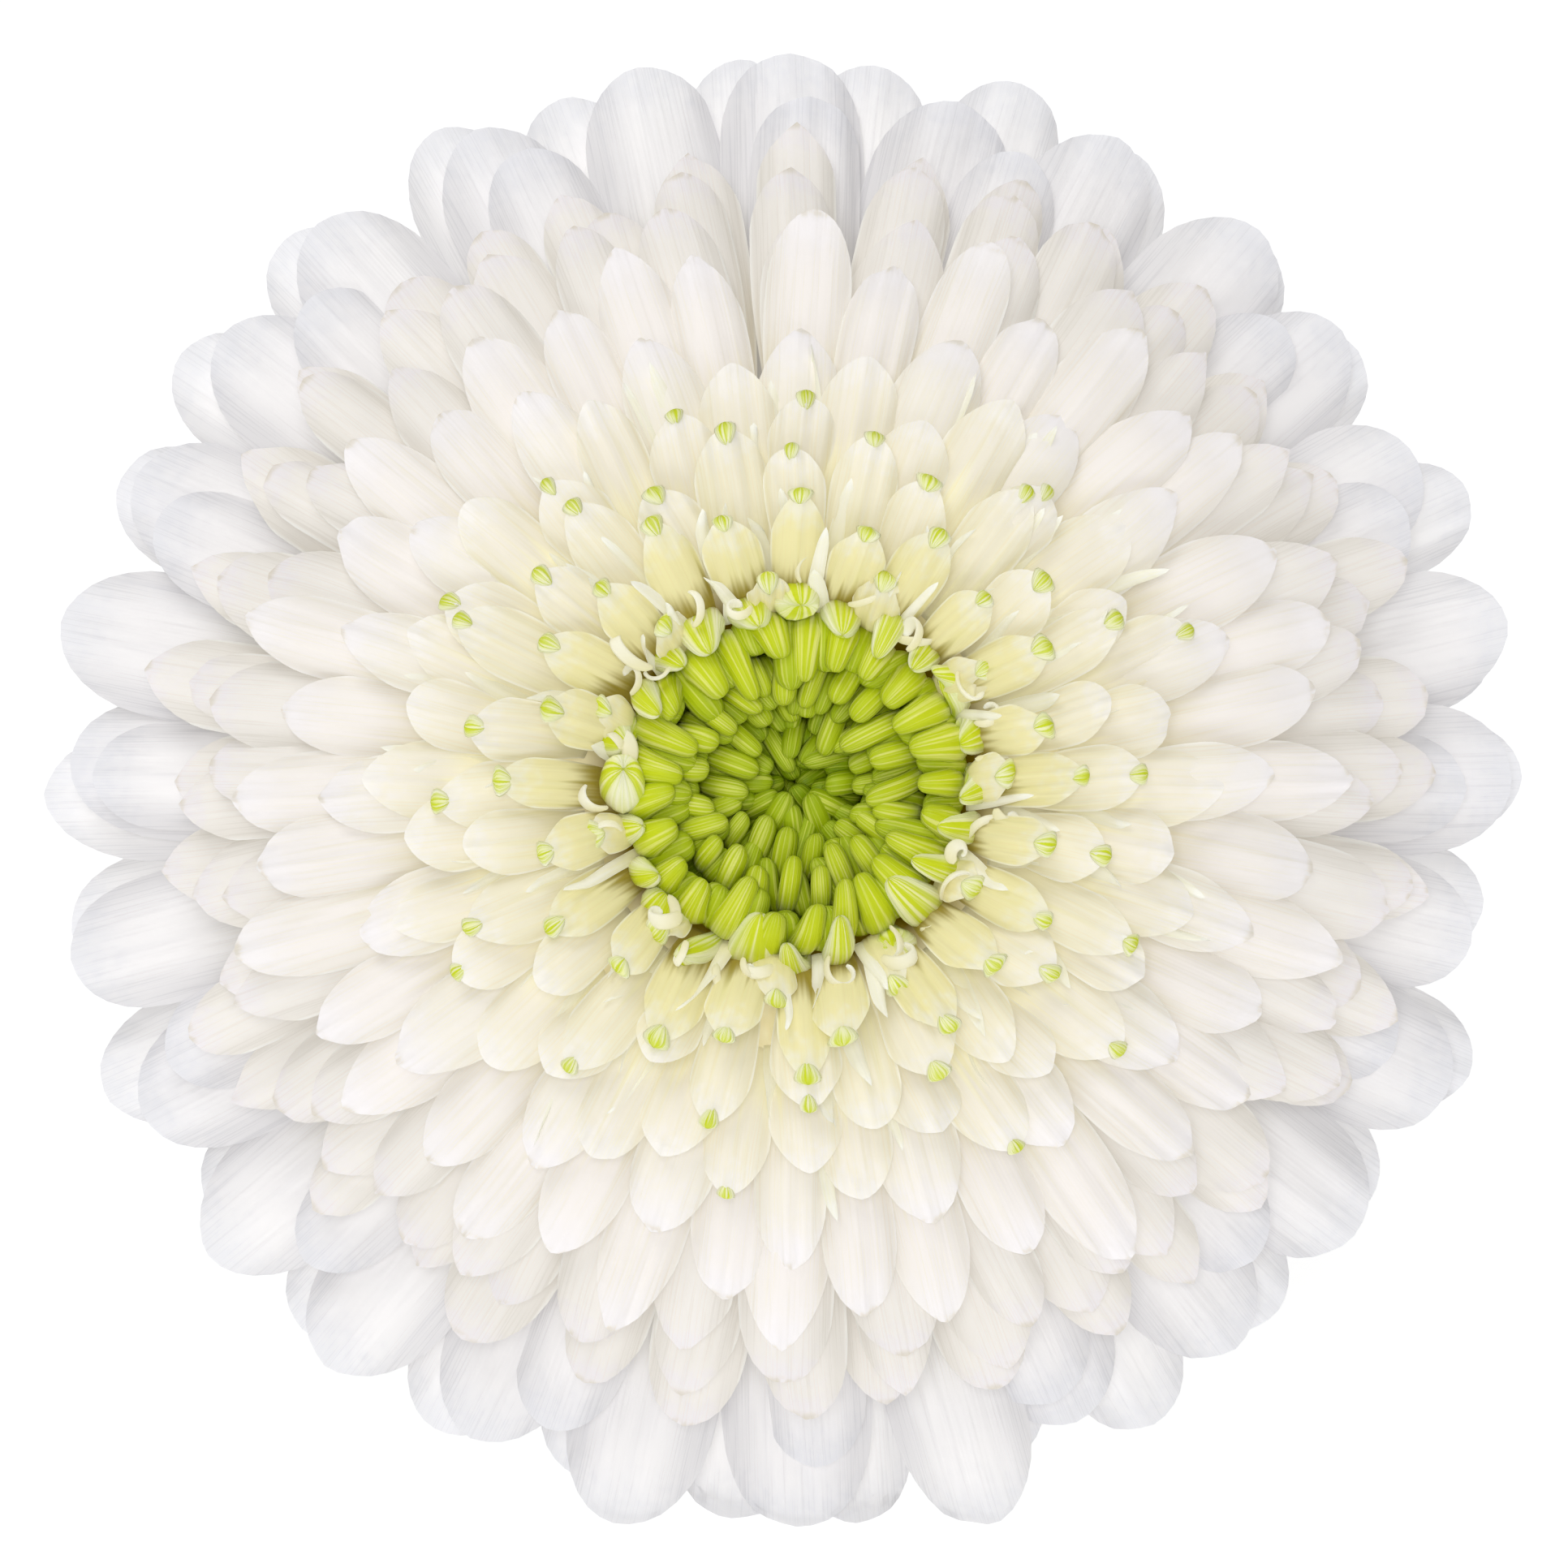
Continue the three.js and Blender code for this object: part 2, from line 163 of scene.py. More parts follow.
# %% [markdown]
# ## Finishes by formula
#
# A finish here is a sum of simple things: how far along or across the petal a point is, and some
# noise. As nodes, such sums get long and hard to read. This small class wraps a socket, so the sum is
# written as Python and adds its own Math nodes. Its `node` adds any other.


# %% Wrap a socket
class Shade:
    """A socket of a finish. Sums of values on it add Math nodes."""

    def __init__(self, tree, socket=None):
        self.tree = tree
        self.socket = socket

    def node(self, kind, settings=None, sockets=None, output=0):
        """Adds a node: its settings first, then a value or a link for each named socket."""
        made = self.tree.nodes.new(kind)
        for name, value in (settings or {}).items():
            setattr(made, name, value)
        for name, value in (sockets or {}).items():
            if isinstance(value, Shade):
                self.tree.links.new(value.socket, made.inputs[name])
            else:
                made.inputs[name].default_value = value
        return Shade(self.tree, made.outputs[output])

    def math(self, operation, *values):
        return self.node("ShaderNodeMath", {"operation": operation}, dict(enumerate(values)))

    def __add__(self, other):
        return self.math("ADD", self, other)

    def __sub__(self, other):
        return self.math("SUBTRACT", self, other)

    def __rsub__(self, other):
        return self.math("SUBTRACT", other, self)

    def __mul__(self, other):
        return self.math("MULTIPLY", self, other)

    def __abs__(self):
        return self.math("ABSOLUTE", self)

    def rise(self, low, high):
        """0 below low and 1 above high, with a soft passage between them."""
        return self.node(
            "ShaderNodeMapRange",
            {"interpolation_type": "SMOOTHSTEP"},
            {"Value": self, "From Min": low, "From Max": high},
        )

    def blend(self, colour, other):
        """colour where this value is 0, and other where it is 1."""
        return self.node("ShaderNodeMix", {"data_type": "RGBA"}, {0: self, 6: colour, 7: other}, output=2)

    def painted(self, names):
        """Values that the mesh keeps at each of its corners."""
        return [
            self.node("ShaderNodeAttribute", {"attribute_name": name}, output="Fac")
            for name in names.split()
        ]

    def noise(self, x, y, z, detail=1.0):
        """Soft noise round 0.5 at a point given by three values."""
        where = self.node("ShaderNodeCombineXYZ", sockets={"X": x, "Y": y, "Z": z})
        return self.node("ShaderNodeTexNoise", sockets={"Vector": where, "Scale": 1.0, "Detail": detail})

    def relief(self, depth, strength=1.0):
        """A Bump node: how the surface looks when this value stands up from it by depth mm."""
        sockets = {"Height": self, "Distance": depth * MM, "Strength": strength}
        return self.node("ShaderNodeBump", sockets=sockets)

    def skin(self, colour, roughness, gloss=0.5, relief=None, glow=WHITE, strength=0.0):
        """The main shader of a finish. It may give off a little light of its own."""
        return self.node("ShaderNodeBsdfPrincipled", sockets={
            "Base Color": colour, "Roughness": roughness, "Specular IOR Level": gloss,
            "Emission Color": glow, "Emission Strength": strength,
            **({"Normal": relief} if relief else {}),
        })


def new_finish(name):
    """An empty material, and a Shade to add its nodes with."""
    material = bpy.data.materials.new(name)
    material.use_nodes = True
    material.node_tree.nodes.clear()
    material.cycles.emission_sampling = "NONE"
    return material, Shade(material.node_tree)


def rgb(red, green, blue):
    """A colour as seen on a screen, 0 to 255 a channel, as the linear one that nodes take."""
    return tuple((channel / 255) ** 2.2 for channel in (red, green, blue)) + (1.0,)


def show(start, shader):
    """Ends a finish with the shader that its surface shows."""
    end = start.tree.nodes.new("ShaderNodeOutputMaterial")
    start.tree.links.new(shader.socket, end.inputs["Surface"])
    print("a finish of", len(start.tree.nodes), "nodes")


# %% [markdown]
# ## The floor
#
# The table is a plain pale sheet. It gives off a little light, as a light table does, so it stays
# white between and under the petals, where soft shadows would turn it grey.

# %% Lay the floor
FLOOR_SIDE = 8.0
FLOOR_GLOW = 0.8
SPECKLE_SCALE = 40.0

floor_finish, start = new_finish("pale_floor")
spot = start.node("ShaderNodeTexCoord", output="Object")
speckles = start.node("ShaderNodeTexNoise", sockets={"Vector": spot, "Scale": SPECKLE_SCALE})
pale = speckles.blend((0.38, 0.38, 0.385, 1.0), (0.42, 0.42, 0.425, 1.0))
show(start, start.skin(pale, 0.7, strength=FLOOR_GLOW))

half = FLOOR_SIDE / 2
floor_mesh = bpy.data.meshes.new("floor")
floor_mesh.from_pydata(
    [(-half, -half, 0), (half, -half, 0), (half, half, 0), (-half, half, 0)], [], [(0, 1, 2, 3)]
)
floor_mesh.materials.append(floor_finish)
floor = add_object("floor", floor_mesh)
print("floor", FLOOR_SIDE, "m wide")

# %% [markdown]
# ## Repeatable chance
#
# No two petals are alike, but the flower has to come out the same each time. The solids were placed
# with draws from a simple generator. The same generator, asked in the same order, puts each fine
# petal where its solid one is, apart from the innermost petals and the buds, which only keep to
# their rows. What shows here alone, such as twist, comes from numpy's generator.
#
# A petal's middle line is a quadratic curve from its root over a crown point to its tip, each given
# as a distance from the axis and a height. In a row with a step, every second petal ends that much
# further in and higher, and the others further out and lower.

# %% Draw as the solids do
MODULUS = 2147483647
MULTIPLIER = 16807
UNEVEN_PLACE = 0.07
UNEVEN_WIDTH = 0.06
UNEVEN_ROLL = 0.3
UNEVEN_HEIGHT = 0.15

Row = namedtuple("Row", "count width spread root crown tip step", defaults=[(0.0, 0.0)])
Place = namedtuple("Place", "angle crown_out crown_up reach height width roll")


def seeded_draws(seed):
    """A function that draws a number between low and high, in a fixed sequence."""
    state = seed

    def draw(low, high):
        nonlocal state
        state = state * MULTIPLIER % MODULUS
        return low + (high - low) * state / MODULUS

    return draw


def plain_reach(row, angle, spread):
    return row.tip[0] + spread


def place_row(row, seed, reach_of=plain_reach):
    """Where each petal of a row stands, as arrays with a value for each petal."""
    draw = seeded_draws(seed)
    pitch = 2 * math.pi / row.count
    phase = draw(0, pitch)
    angles = [phase + (turn + draw(-UNEVEN_PLACE, UNEVEN_PLACE)) * pitch for turn in range(row.count)]
    places = []
    for turn, angle in enumerate(angles):
        out, up = np.array(row.step) * (-1 if turn % 2 else 1)
        reach = reach_of(row, angle, out + draw(-row.spread, row.spread))
        height = row.tip[1] - up + draw(-UNEVEN_HEIGHT, UNEVEN_HEIGHT)
        width = draw(1 - UNEVEN_WIDTH, 1 + UNEVEN_WIDTH / 2)
        roll = draw(1 - UNEVEN_ROLL, 1 + UNEVEN_ROLL) * (not any(row.step))
        places.append((angle, row.crown[0], row.crown[1] - up, reach, height, width, roll))
    return Place(*np.array(places).T)


def curve_at(share, root, crown, tip):
    """Where a quadratic curve is after a share of its way, and which way it runs there."""
    back = 1 - share
    point = back ** 2 * root + 2 * back * share * crown + share ** 2 * tip
    return point, back * (crown - root) + share * (tip - crown)


# %% [markdown]
# ## One piece from many parts
#
# Each piece of the flower is one mesh of many small closed shapes. A bag collects their corners,
# faces and painted values as numpy arrays and makes one mesh of them at the end, which is far
# quicker than adding them one by one. The rim of a petal, where its two faces meet, is kept sharp,
# because smooth shading would roll it over into a dark line.

# %% Collect shapes in a bag
PAINTED = ("along", "across", "beside", "inward", "youth", "chance")


class Bag:
    """The corners, faces and painted values of the parts of one piece."""

    def __init__(self):
        self.count = 0
        self.points, self.quads, self.triangles, self.rims = [], [], [], []
        self.values = {name: [] for name in PAINTED}

    def add(self, points, quads, triangles, rim=False, **values):
        """Adds parts that share their faces: points is (part, corner, 3)."""
        parts, corners = points.shape[:2]
        starts = self.count + np.arange(parts)[:, None, None] * corners
        self.points.append(points.reshape(-1, 3))
        self.quads.append((quads[None] + starts).reshape(-1, 4))
        self.triangles.append((triangles[None] + starts).reshape(-1, 3))
        self.rims.append(np.broadcast_to(rim, (parts, corners)).ravel())
        for name in PAINTED:
            value = np.broadcast_to(values.get(name, 0.0), (parts, corners))
            self.values[name].append(value.reshape(-1))
        self.count += parts * corners

    def to_piece(self, name, finish, slot, *replaced):
        """Makes the mesh, hangs it on the root body and hides the solids that it stands for."""
        faces = np.concatenate(self.quads).tolist() + np.concatenate(self.triangles).tolist()
        mesh = bpy.data.meshes.new(name)
        mesh.from_pydata(np.concatenate(self.points) * MM, [], faces)
        mesh.shade_smooth()
        ends = np.empty(2 * len(mesh.edges), np.int32)
        mesh.edges.foreach_get("vertices", ends)
        on_rim = np.concatenate(self.rims)[ends.reshape(-1, 2)].all(axis=1)
        mesh.edges.foreach_set("use_edge_sharp", on_rim)
        for value_name, values in self.values.items():
            layer = mesh.attributes.new(value_name, "FLOAT", "POINT")
            layer.data.foreach_set("value", np.concatenate(values).astype(np.float32))
        mesh.materials.append(finish)
        piece = add_object(name, mesh)
        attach(piece, "root")
        if replaced:
            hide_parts(*replaced)
        print(name, "has", sum(len(face) - 2 for face in faces), "triangles")
        return piece


# %% [markdown]
# ## A petal
#
# A petal is a thin closed skin: an upper and a lower face that meet in a fine rim. Both are grids,
# with stations along the petal and columns across it, closer together where the outline turns. It
# ends in an ellipse, or in a squarer curve for a blunt petal. What makes it a real one are the
# small things: an arched section, soft pleats, a tip that nods, a sideways lean, lumps and, at the
# very end, small teeth and crinkles.

# %% Describe a kind of petal
Kind = namedtuple("Kind", (
    "stations columns foot belly taper blunt square arch lump thick nod lean twist"
    " pleat crinkle tooth roll curl hood wander"
), defaults=[0.0] * 7)


def smooth(value, low, high):
    """0 below low and 1 above high, with a soft passage between them."""
    share = np.clip((value - low) / (high - low), 0, 1)
    return share * share * (3 - 2 * share)


def bump_at(value, middle, width):
    """1 at middle, and less the further off it."""
    return np.exp(-((value - middle) / width) ** 2)


def petal_faces(stations, columns):
    """Quads and triangles of a petal, its rim, and the grid places that its lower face has."""
    places = columns + 1
    upper = np.arange((stations + 1) * places).reshape(stations + 1, places)
    inside = np.zeros(upper.shape, bool)
    inside[:-1, 1:-1] = True
    lower = upper.copy()
    lower[inside] = upper.size + np.arange(inside.sum())
    rim = np.concatenate([~inside.ravel(), np.zeros(inside.sum(), bool)])
    quads = []
    for grid, way in ((upper, 1), (lower, -1)):
        ring = [grid[:-1, :-1], grid[1:, :-1], grid[1:, 1:], grid[:-1, 1:]]
        quads.append(np.stack(ring[::way], axis=-1).reshape(-1, 4))
    root = np.stack([upper[0, 1:-2], upper[0, 2:-1], lower[0, 2:-1], lower[0, 1:-2]], axis=-1)
    ends = [[upper[0, 0], upper[0, 1], lower[0, 1]], [upper[0, -2], upper[0, -1], lower[0, -2]]]
    return np.concatenate([*quads, root]), np.array(ends), rim, inside


# %% Raise a petal's face
PLEATS = 3 * 0.92
CRINKLE_REACH = 1.6
NOD_FROM, NOD_TO = 0.72, 1.12
HOOD_AT, HOOD_LENGTH, HOOD_WIDTH = 0.75, 0.5, 0.6
DIMPLE_AT, DIMPLE_LENGTH, DIMPLE_WIDTH = 1.5, 1.0, 1.3


def lift_of(kind, spread, along, across, inward, half):
    """How far petals' faces stand off their middle lines. spread draws a value for each."""
    fullness = 0.45 + 0.55 * np.sin(math.pi * np.clip(along, 0, 1) ** 0.8)
    lift = kind.arch * (1 + spread(0.35)) * half * (1 - across ** 2) * fullness
    lift = lift + kind.pleat * (1 + spread(0.7)) * smooth(along, 0.1, 0.5) * (
        np.cos(PLEATS * math.pi * (across + spread(0.12))) * (1 - across ** 6)
    )
    lift = lift + kind.curl * (1 + spread(0.8)) * across ** 4 * smooth(along, 0.3, 0.8)
    for wave in range(3):
        lift = lift + kind.lump / (1 + wave) * spread(1.0) * smooth(along, 0.15, 0.6) * np.sin(
            (3 + 2.5 * wave) * along + (1.2 + wave) * across + spread(math.pi)
        )
    folds = np.sin(9 * across + spread(math.pi))
    folds = folds + 0.5 * np.sin(17 * across + 9 * along + spread(math.pi))
    lift = lift + kind.crinkle * folds * np.exp(-inward / CRINKLE_REACH)
    lift = lift - kind.nod * (1 + spread(0.5)) * smooth(along, NOD_FROM, NOD_TO)
    beside = across * half
    nub = bump_at(inward, HOOD_AT, HOOD_LENGTH) * bump_at(beside, 0.0, HOOD_WIDTH)
    dimple = bump_at(inward, DIMPLE_AT, DIMPLE_LENGTH) * bump_at(beside, 0.0, DIMPLE_WIDTH)
    return lift + kind.hood * (1 + spread(0.4)) * (nub - 0.7 * dimple)


# %% [markdown]
# The outline comes first, then the curve that it is bent along, and last the lift of its face.
# How square a tip is has a generator of its own, which leaves the other draws as they were.

# %% Grow petals at their places
TIP_CROWDING = 1.3
TIP_SEED = 5000
UNEVEN_TIP = (-0.55, 0.25)
TEETH = 2.6
RIM_SHARE = 0.1
TIP_THINNING = 0.85


def grow_petals(bag, width, root, kind, places, seed, youth):
    """Adds petals to a bag and returns their upper faces. youth is 1 nearest to the eye."""
    count = len(places.angle)
    each = (count, 1, 1)
    places = Place(*(values.reshape(each) for values in places))
    dice = np.random.default_rng(seed)

    def spread(size):
        return (dice.random(each) * 2 - 1) * size

    quads, triangles, rim, inside = petal_faces(kind.stations, kind.columns)
    across = np.sin(np.linspace(-math.pi / 2, math.pi / 2, kind.columns + 1))[None, None]
    steps = 1 - (1 - np.linspace(0, 1, kind.stations + 1)[None, :, None]) ** TIP_CROWDING

    crown_up = places.crown_up + spread(kind.wander * 0.3)
    reach = places.reach + spread(kind.wander)
    half = places.width * width / 2 * (1 + spread(kind.wander * 0.15))
    length = np.hypot(reach - root[0], places.height - root[1])

    pointed = np.random.default_rng(seed + TIP_SEED).uniform(*UNEVEN_TIP, each)
    square = kind.square + kind.wander * pointed
    end = 1 - (1 - np.abs(across) ** square) ** (1 / square)
    teeth = 0.5 - 0.5 * np.cos((across + spread(0.25)) * (TEETH + spread(0.5)) * math.pi)
    along = steps * (1 - kind.blunt * (1 + spread(0.12)) * half / length * end)
    bite = kind.tooth * (1 + spread(0.6)) / length * teeth * (1 - across ** 4)
    along = np.maximum(0, along - steps ** 10 * bite)
    inward = (1 - along) * length

    widening = np.sin(math.pi / 2 * np.clip(along / kind.belly, 0, 1)) ** 1.2
    narrowing = np.clip((along - kind.belly) / (1 - kind.belly), 0, 1) ** 2
    half = half * (kind.foot + (1 - kind.foot) * widening) * (1 - kind.taper * narrowing)
    beside = across * half

    radius, run = curve_at(along, root[0], places.crown_out, reach)
    rise, climb = curve_at(along, root[1], crown_up, places.height)
    slant = np.hypot(run, climb)
    run, climb = run / slant, climb / slant

    lift = lift_of(kind, spread, along, across, inward, half)
    turn = (kind.roll * places.roll + spread(kind.twist)) * along
    lean = spread(kind.lean) * along ** 1.5
    thick = kind.thick * np.sqrt(np.clip(1 - across ** 2, RIM_SHARE ** 2, 1))
    thick = thick * (1 - TIP_THINNING * steps ** 8)
    angle = places.angle + spread(kind.wander * 0.6) / reach

    def face_at(lift):
        sideways = beside * np.cos(turn) - lift * np.sin(turn) + lean
        out = beside * np.sin(turn) + lift * np.cos(turn)
        from_axis = radius - climb * out
        return np.stack([
            np.cos(angle) * from_axis - np.sin(angle) * sideways,
            np.sin(angle) * from_axis + np.cos(angle) * sideways,
            rise + run * out,
        ], axis=-1)

    def both(values):
        values = np.broadcast_to(values, (count, *along.shape[1:]))
        return np.concatenate([values.reshape(count, -1), values[:, inside]], axis=1)

    upper, lower = face_at(lift), face_at(lift - thick)
    points = np.concatenate([upper.reshape(count, -1, 3), lower[:, inside]], axis=1)
    bag.add(
        in_place(points), quads, triangles, rim,
        along=both(along), across=both(across), beside=both(beside), inward=both(inward),
        youth=youth, chance=both(dice.random(each)),
    )
    return upper


def grow_row(bag, kind, row, seed, youth=0.0, reach_of=plain_reach):
    """Adds a row of petals to a bag and returns their upper faces."""
    places = place_row(row, seed, reach_of)
    return grow_petals(bag, row.width, row.root, kind, places, seed, youth)


# %% [markdown]
# ## The finish of a petal
#
# A petal isn't painted white. It is a thin skin full of air, and it lets light through. Near its
# foot a little yellow shows, more so in the young petals next to the eye, and where the foot lies
# under the next row it is painted darker too, as shade, most of all in the rays. So the colour
# follows painted values: how far inward from the tip a point lies and how far beside the middle, in
# millimetres, and how young its row is. A Translucent shader beside the main one lets some light
# pass.
#
# Painted light stands in for light that has been through many petals. A petal gives off a little of
# its own colour, a painted glow. Its sides, which such light reaches least, get painted shade, and its
# very rim a painted highlight. The foot of the youngest petals lets no light pass, and its dark olive
# is partly its own colour and partly painted shade, which makes the dark olive ring round the eye.

# %% Mix the petal finish
GLOW_SHARE = 0.33
GLOW_COLOUR = (0.93, 0.93, 0.87, 1.0)
SOAKED_LIGHT = 0.2
RIM_HIGHLIGHT_COLOUR = rgb(252, 252, 250)
TANNED = rgb(186, 172, 120)


def petal_finish(
    name, tip, middle, foot, whiteness, footing, streak, streaky, shade_and_vein_colour, tan=0.0, rim_highlight=0.5,
    sides=0.14, foot_shade_and_density=0.0, gloss=0.3,
):
    """tip, middle, foot and streak are each a colour, or two, for the oldest and youngest row.
    The foot colour is partly the petal's own and partly painted shade under the next row, and
    shade_and_vein_colour is that of the painted shade on the sides and of the veins.
    whiteness is where the middle colour is reached, and footing where the foot's begins and
    ends, in mm. streaky, sides, rim_highlight, tan and foot_shade_and_density are shares: of the
    streaks, of painted shade on the sides, of a painted highlight on the rim, of brown at the tip,
    and of the foot's dark colour, partly painted shade, and of light that the foot stops.
    """
    material, start = new_finish(name)
    across, beside, inward, youth, chance = start.painted("across beside inward youth chance")
    aside = abs(across)
    tip, middle, foot, streak = (
        youth.blend(*colour) if len(colour) == 2 else colour for colour in (tip, middle, foot, streak)
    )
    lines = start.noise(beside * 2.3 + chance * 60, inward * 0.08, chance * 21)
    veins = start.noise(beside * 11 + chance * 95, inward * 0.18, chance * 13, 0.0)
    mottle = start.noise(beside * 1.7 + chance * 40, inward * 1.3, chance * 37)

    colour = (inward + (mottle - 0.5) * 4).rise(0.0, whiteness).blend(tip, middle)
    foot_share = (inward + (lines - 0.5) * 5).rise(*footing)
    colour = foot_share.blend(colour, foot)
    streaks = lines.rise(0.53, 0.75) * streaky * inward.rise(0.5, 4.0)
    colour = streaks.blend(colour, streak)
    # Painted shade darkens the sides. The veins and a random tone for each petal darken it a little too.
    shade_and_vein_share = aside.rise(0.3, 0.85) * sides + veins.rise(0.5, 0.75) * 0.18 + chance * 0.06
    colour = shade_and_vein_share.blend(colour, shade_and_vein_colour)
    # A painted highlight along the very rim.
    colour = (aside.rise(0.9, 0.98) * rim_highlight).blend(colour, RIM_HIGHLIGHT_COLOUR)
    passed = GLOW_SHARE
    # At the youngest petals' foot the colour becomes the dark olive foot colour, partly their own and
    # partly painted shade, and less light passes.
    if foot_shade_and_density:
        colour = (foot_share * youth * foot_shade_and_density).blend(colour, foot)
        passed = (1 - foot_share * foot_shade_and_density) * GLOW_SHARE
    if tan:
        edge = (1 - inward.rise(0.15, 0.7)) * mottle.rise(0.35, 0.6) * tan
        colour = edge.blend(colour, TANNED)
    skin = start.skin(colour, 0.52, gloss, lines.relief(0.07), colour, SOAKED_LIGHT)
    glow = start.node("ShaderNodeBsdfTranslucent", sockets={"Color": GLOW_COLOUR})
    show(start, start.node("ShaderNodeMixShader", sockets={0: passed, 1: skin, 2: glow}))
    return material


# %% [markdown]
# ## The ray petals
#
# The broad outer petals grow in two full rows and a shorter third. They are the flattest of all,
# rounded at the end, with one or two soft creases along them. The lowest ones carry the head. The
# solids are cut off level on the table, and here their tips bend forward along it, as real ones do.

# %% Grow the ray petals
TABLE_REACH = 52
PRESSED_ARC = math.radians(16)
PRESSED_EXTRA = 0.5
EYE_OFFSET = 1.0
RAY_SEED = 101

RAY_ROWS = [
    Row(30, 9.2, 1.0, (12.1, -0.6), (32, -1.8), (51.6, -2.2)),
    Row(28, 10.6, 1.6, (12.4, 0.4), (32, 0.7), (51.4, -0.5)),
    Row(16, 8.2, 0.9, (12.1, 1.3), (32, 2.7), (47.8, 1.2)),
]
RAY = Kind(
    stations=26, columns=14, foot=0.3, belly=0.7, taper=0.1, blunt=1.3, square=2.15, arch=0.3,
    pleat=0.2, lump=0.25, crinkle=0.02, tooth=0.06, thick=0.4, nod=0.5, roll=0.15, lean=1.2,
    twist=0.05, curl=-0.3, wander=0.4,
)


def ray_reach(row, angle, spread):
    """A ray under the head runs on to the table."""
    off_lowest = abs(math.remainder(angle + math.pi / 2, 2 * math.pi))
    if off_lowest < PRESSED_ARC and row.tip[0] + row.spread > TABLE_REACH:
        return TABLE_REACH / math.cos(off_lowest) + PRESSED_EXTRA
    return row.tip[0] + spread - EYE_OFFSET * math.cos(angle)


def rest_on_table(bag, room=0.5, squeezed=0.9):
    """Bends what would go through the table forward along it, for the points in a bag."""
    for points in bag.points:
        sunk = np.maximum(0, room - points[:, 2])
        kept = squeezed * room * (1 - np.exp(-sunk / (squeezed * room)))
        points[:, 1] -= sunk - kept
        points[:, 2] += sunk - kept


# The rays' foot colour is painted shade where they lie under the crowded rows. The last colour is the
# painted lilac-grey shade of their sides and the colour of their veins. They get no painted rim
# highlight.
ray_white = petal_finish(
    "ray_petal", rgb(236, 236, 242), rgb(252, 250, 252), rgb(222, 219, 212),
    5.0, (8.0, 17.0), rgb(228, 227, 233), 0.3, rgb(180, 179, 186), rim_highlight=0.0, sides=0.3,
)
rays = Bag()
for number, row in enumerate(RAY_ROWS):
    grow_row(rays, RAY, row, RAY_SEED + number, reach_of=ray_reach)
rest_on_table(rays)
rays.to_piece("ray_florets", ray_white, "ray_petal", "ray_petals")

# %% [markdown]
# ## The inner petals
#
# Nine rows of narrower petals climb from the rays to the eye. The first three are crowded in the
# shade under the dome, short and blunt with small toothed ends. The next two make the dome: long,
# arched tongues. The rest are younger and shorter, and end in a small green cap.

# %% Grow the crowded rows
INNER_SEED = 211
INNER_ROWS = [
    Row(36, 6.3, 1.0, (24.2, 5.3), (34.6, 5.9), (44.9, 3.6)),
    Row(36, 6.1, 1.0, (24.4, 7.1), (33.2, 8.6), (43.0, 5.7)),
    Row(32, 6.1, 1.0, (24.0, 8.8), (31.6, 11.2), (41.0, 7.9)),
    Row(40, 5.8, 0.8, (22.4, 10.4), (28.8, 14.0), (37.8, 10.4), (1.3, 0.5)),
    Row(20, 5.8, 1.0, (20.4, 11.7), (25.4, 15.9), (32.4, 13.4)),
    Row(36, 5.3, 0.6, (18.5, 12.5), (22.8, 16.7), (27.8, 15.9), (1.2, 0.5)),
    Row(28, 4.9, 0.5, (14.6, 13.2), (18.4, 17.8), (23.4, 17.9), (1.2, 0.3)),
    Row(24, 4.0, 0.4, (12.2, 13.0), (14.4, 18.2), (18.9, 18.9), (1.0, 0.2)),
    Row(11, 3.3, 0.4, (11.8, 12.8), (12.6, 17.0), (15.0, 17.6)),
]
CROWDED = Kind(
    stations=20, columns=12, foot=0.55, belly=0.65, taper=0.1, blunt=1.45, square=2.0, arch=0.4,
    pleat=0.09, lump=0.2, crinkle=0.07, tooth=0.14, thick=0.35, nod=0.7, roll=0.15, lean=1.3,
    twist=0.14, curl=-0.3, wander=1.1,
)
# The last colour is the painted shade of the sides and the colour of the veins.
crowded_white = petal_finish(
    "crowded_petal", rgb(242, 238, 242), rgb(246, 242, 238), rgb(239, 231, 213),
    3.0, (7.0, 16.0), rgb(228, 223, 212), 0.25, rgb(196, 190, 178), tan=0.35, sides=0.22,
)


def grow_inner(name, kind, finish, youths):
    """Makes a piece of inner rows, each number with its youth, and returns their upper faces."""
    bag = Bag()
    faces = [
        grow_row(bag, kind, INNER_ROWS[number], INNER_SEED + number, youth)
        for number, youth in youths.items()
    ]
    bag.to_piece(name, finish, "inner_petal", "inner_petals")
    return faces


grow_inner("crowded_florets", CROWDED, crowded_white, {0: 0.0, 1: 0.5, 2: 1.0})

# %% Grow the dome
DOME = CROWDED._replace(
    stations=22, columns=16, blunt=1.65, arch=0.48, pleat=0.17, lump=0.15, crinkle=0.05, tooth=0.05,
    nod=0.8, lean=0.9, twist=0.1, curl=-0.2, hood=0.15, wander=0.7,
)
# The last colour is the painted shade of the sides and the colour of the veins.
dome_white = petal_finish(
    "dome_petal", rgb(252, 249, 253), (rgb(252, 247, 245), rgb(251, 246, 238)),
    (rgb(240, 232, 204), rgb(240, 231, 192)),
    4.5, (6.0, 14.0), rgb(236, 230, 204), 0.25, rgb(204, 199, 172), tan=0.35,
)
grow_inner("dome_florets", DOME, dome_white, {3: 0.0, 4: 1.0})

# %% Grow the capped rows
CAPPED = Kind(
    stations=20, columns=16, foot=0.6, belly=0.75, taper=0.06, blunt=1.4, square=1.9, arch=0.4,
    pleat=0.2, lump=0.12, crinkle=0.05, thick=0.35, nod=0.3, roll=0.13, lean=0.9,
    twist=0.24, curl=-0.1, hood=0.25, wander=0.7,
)
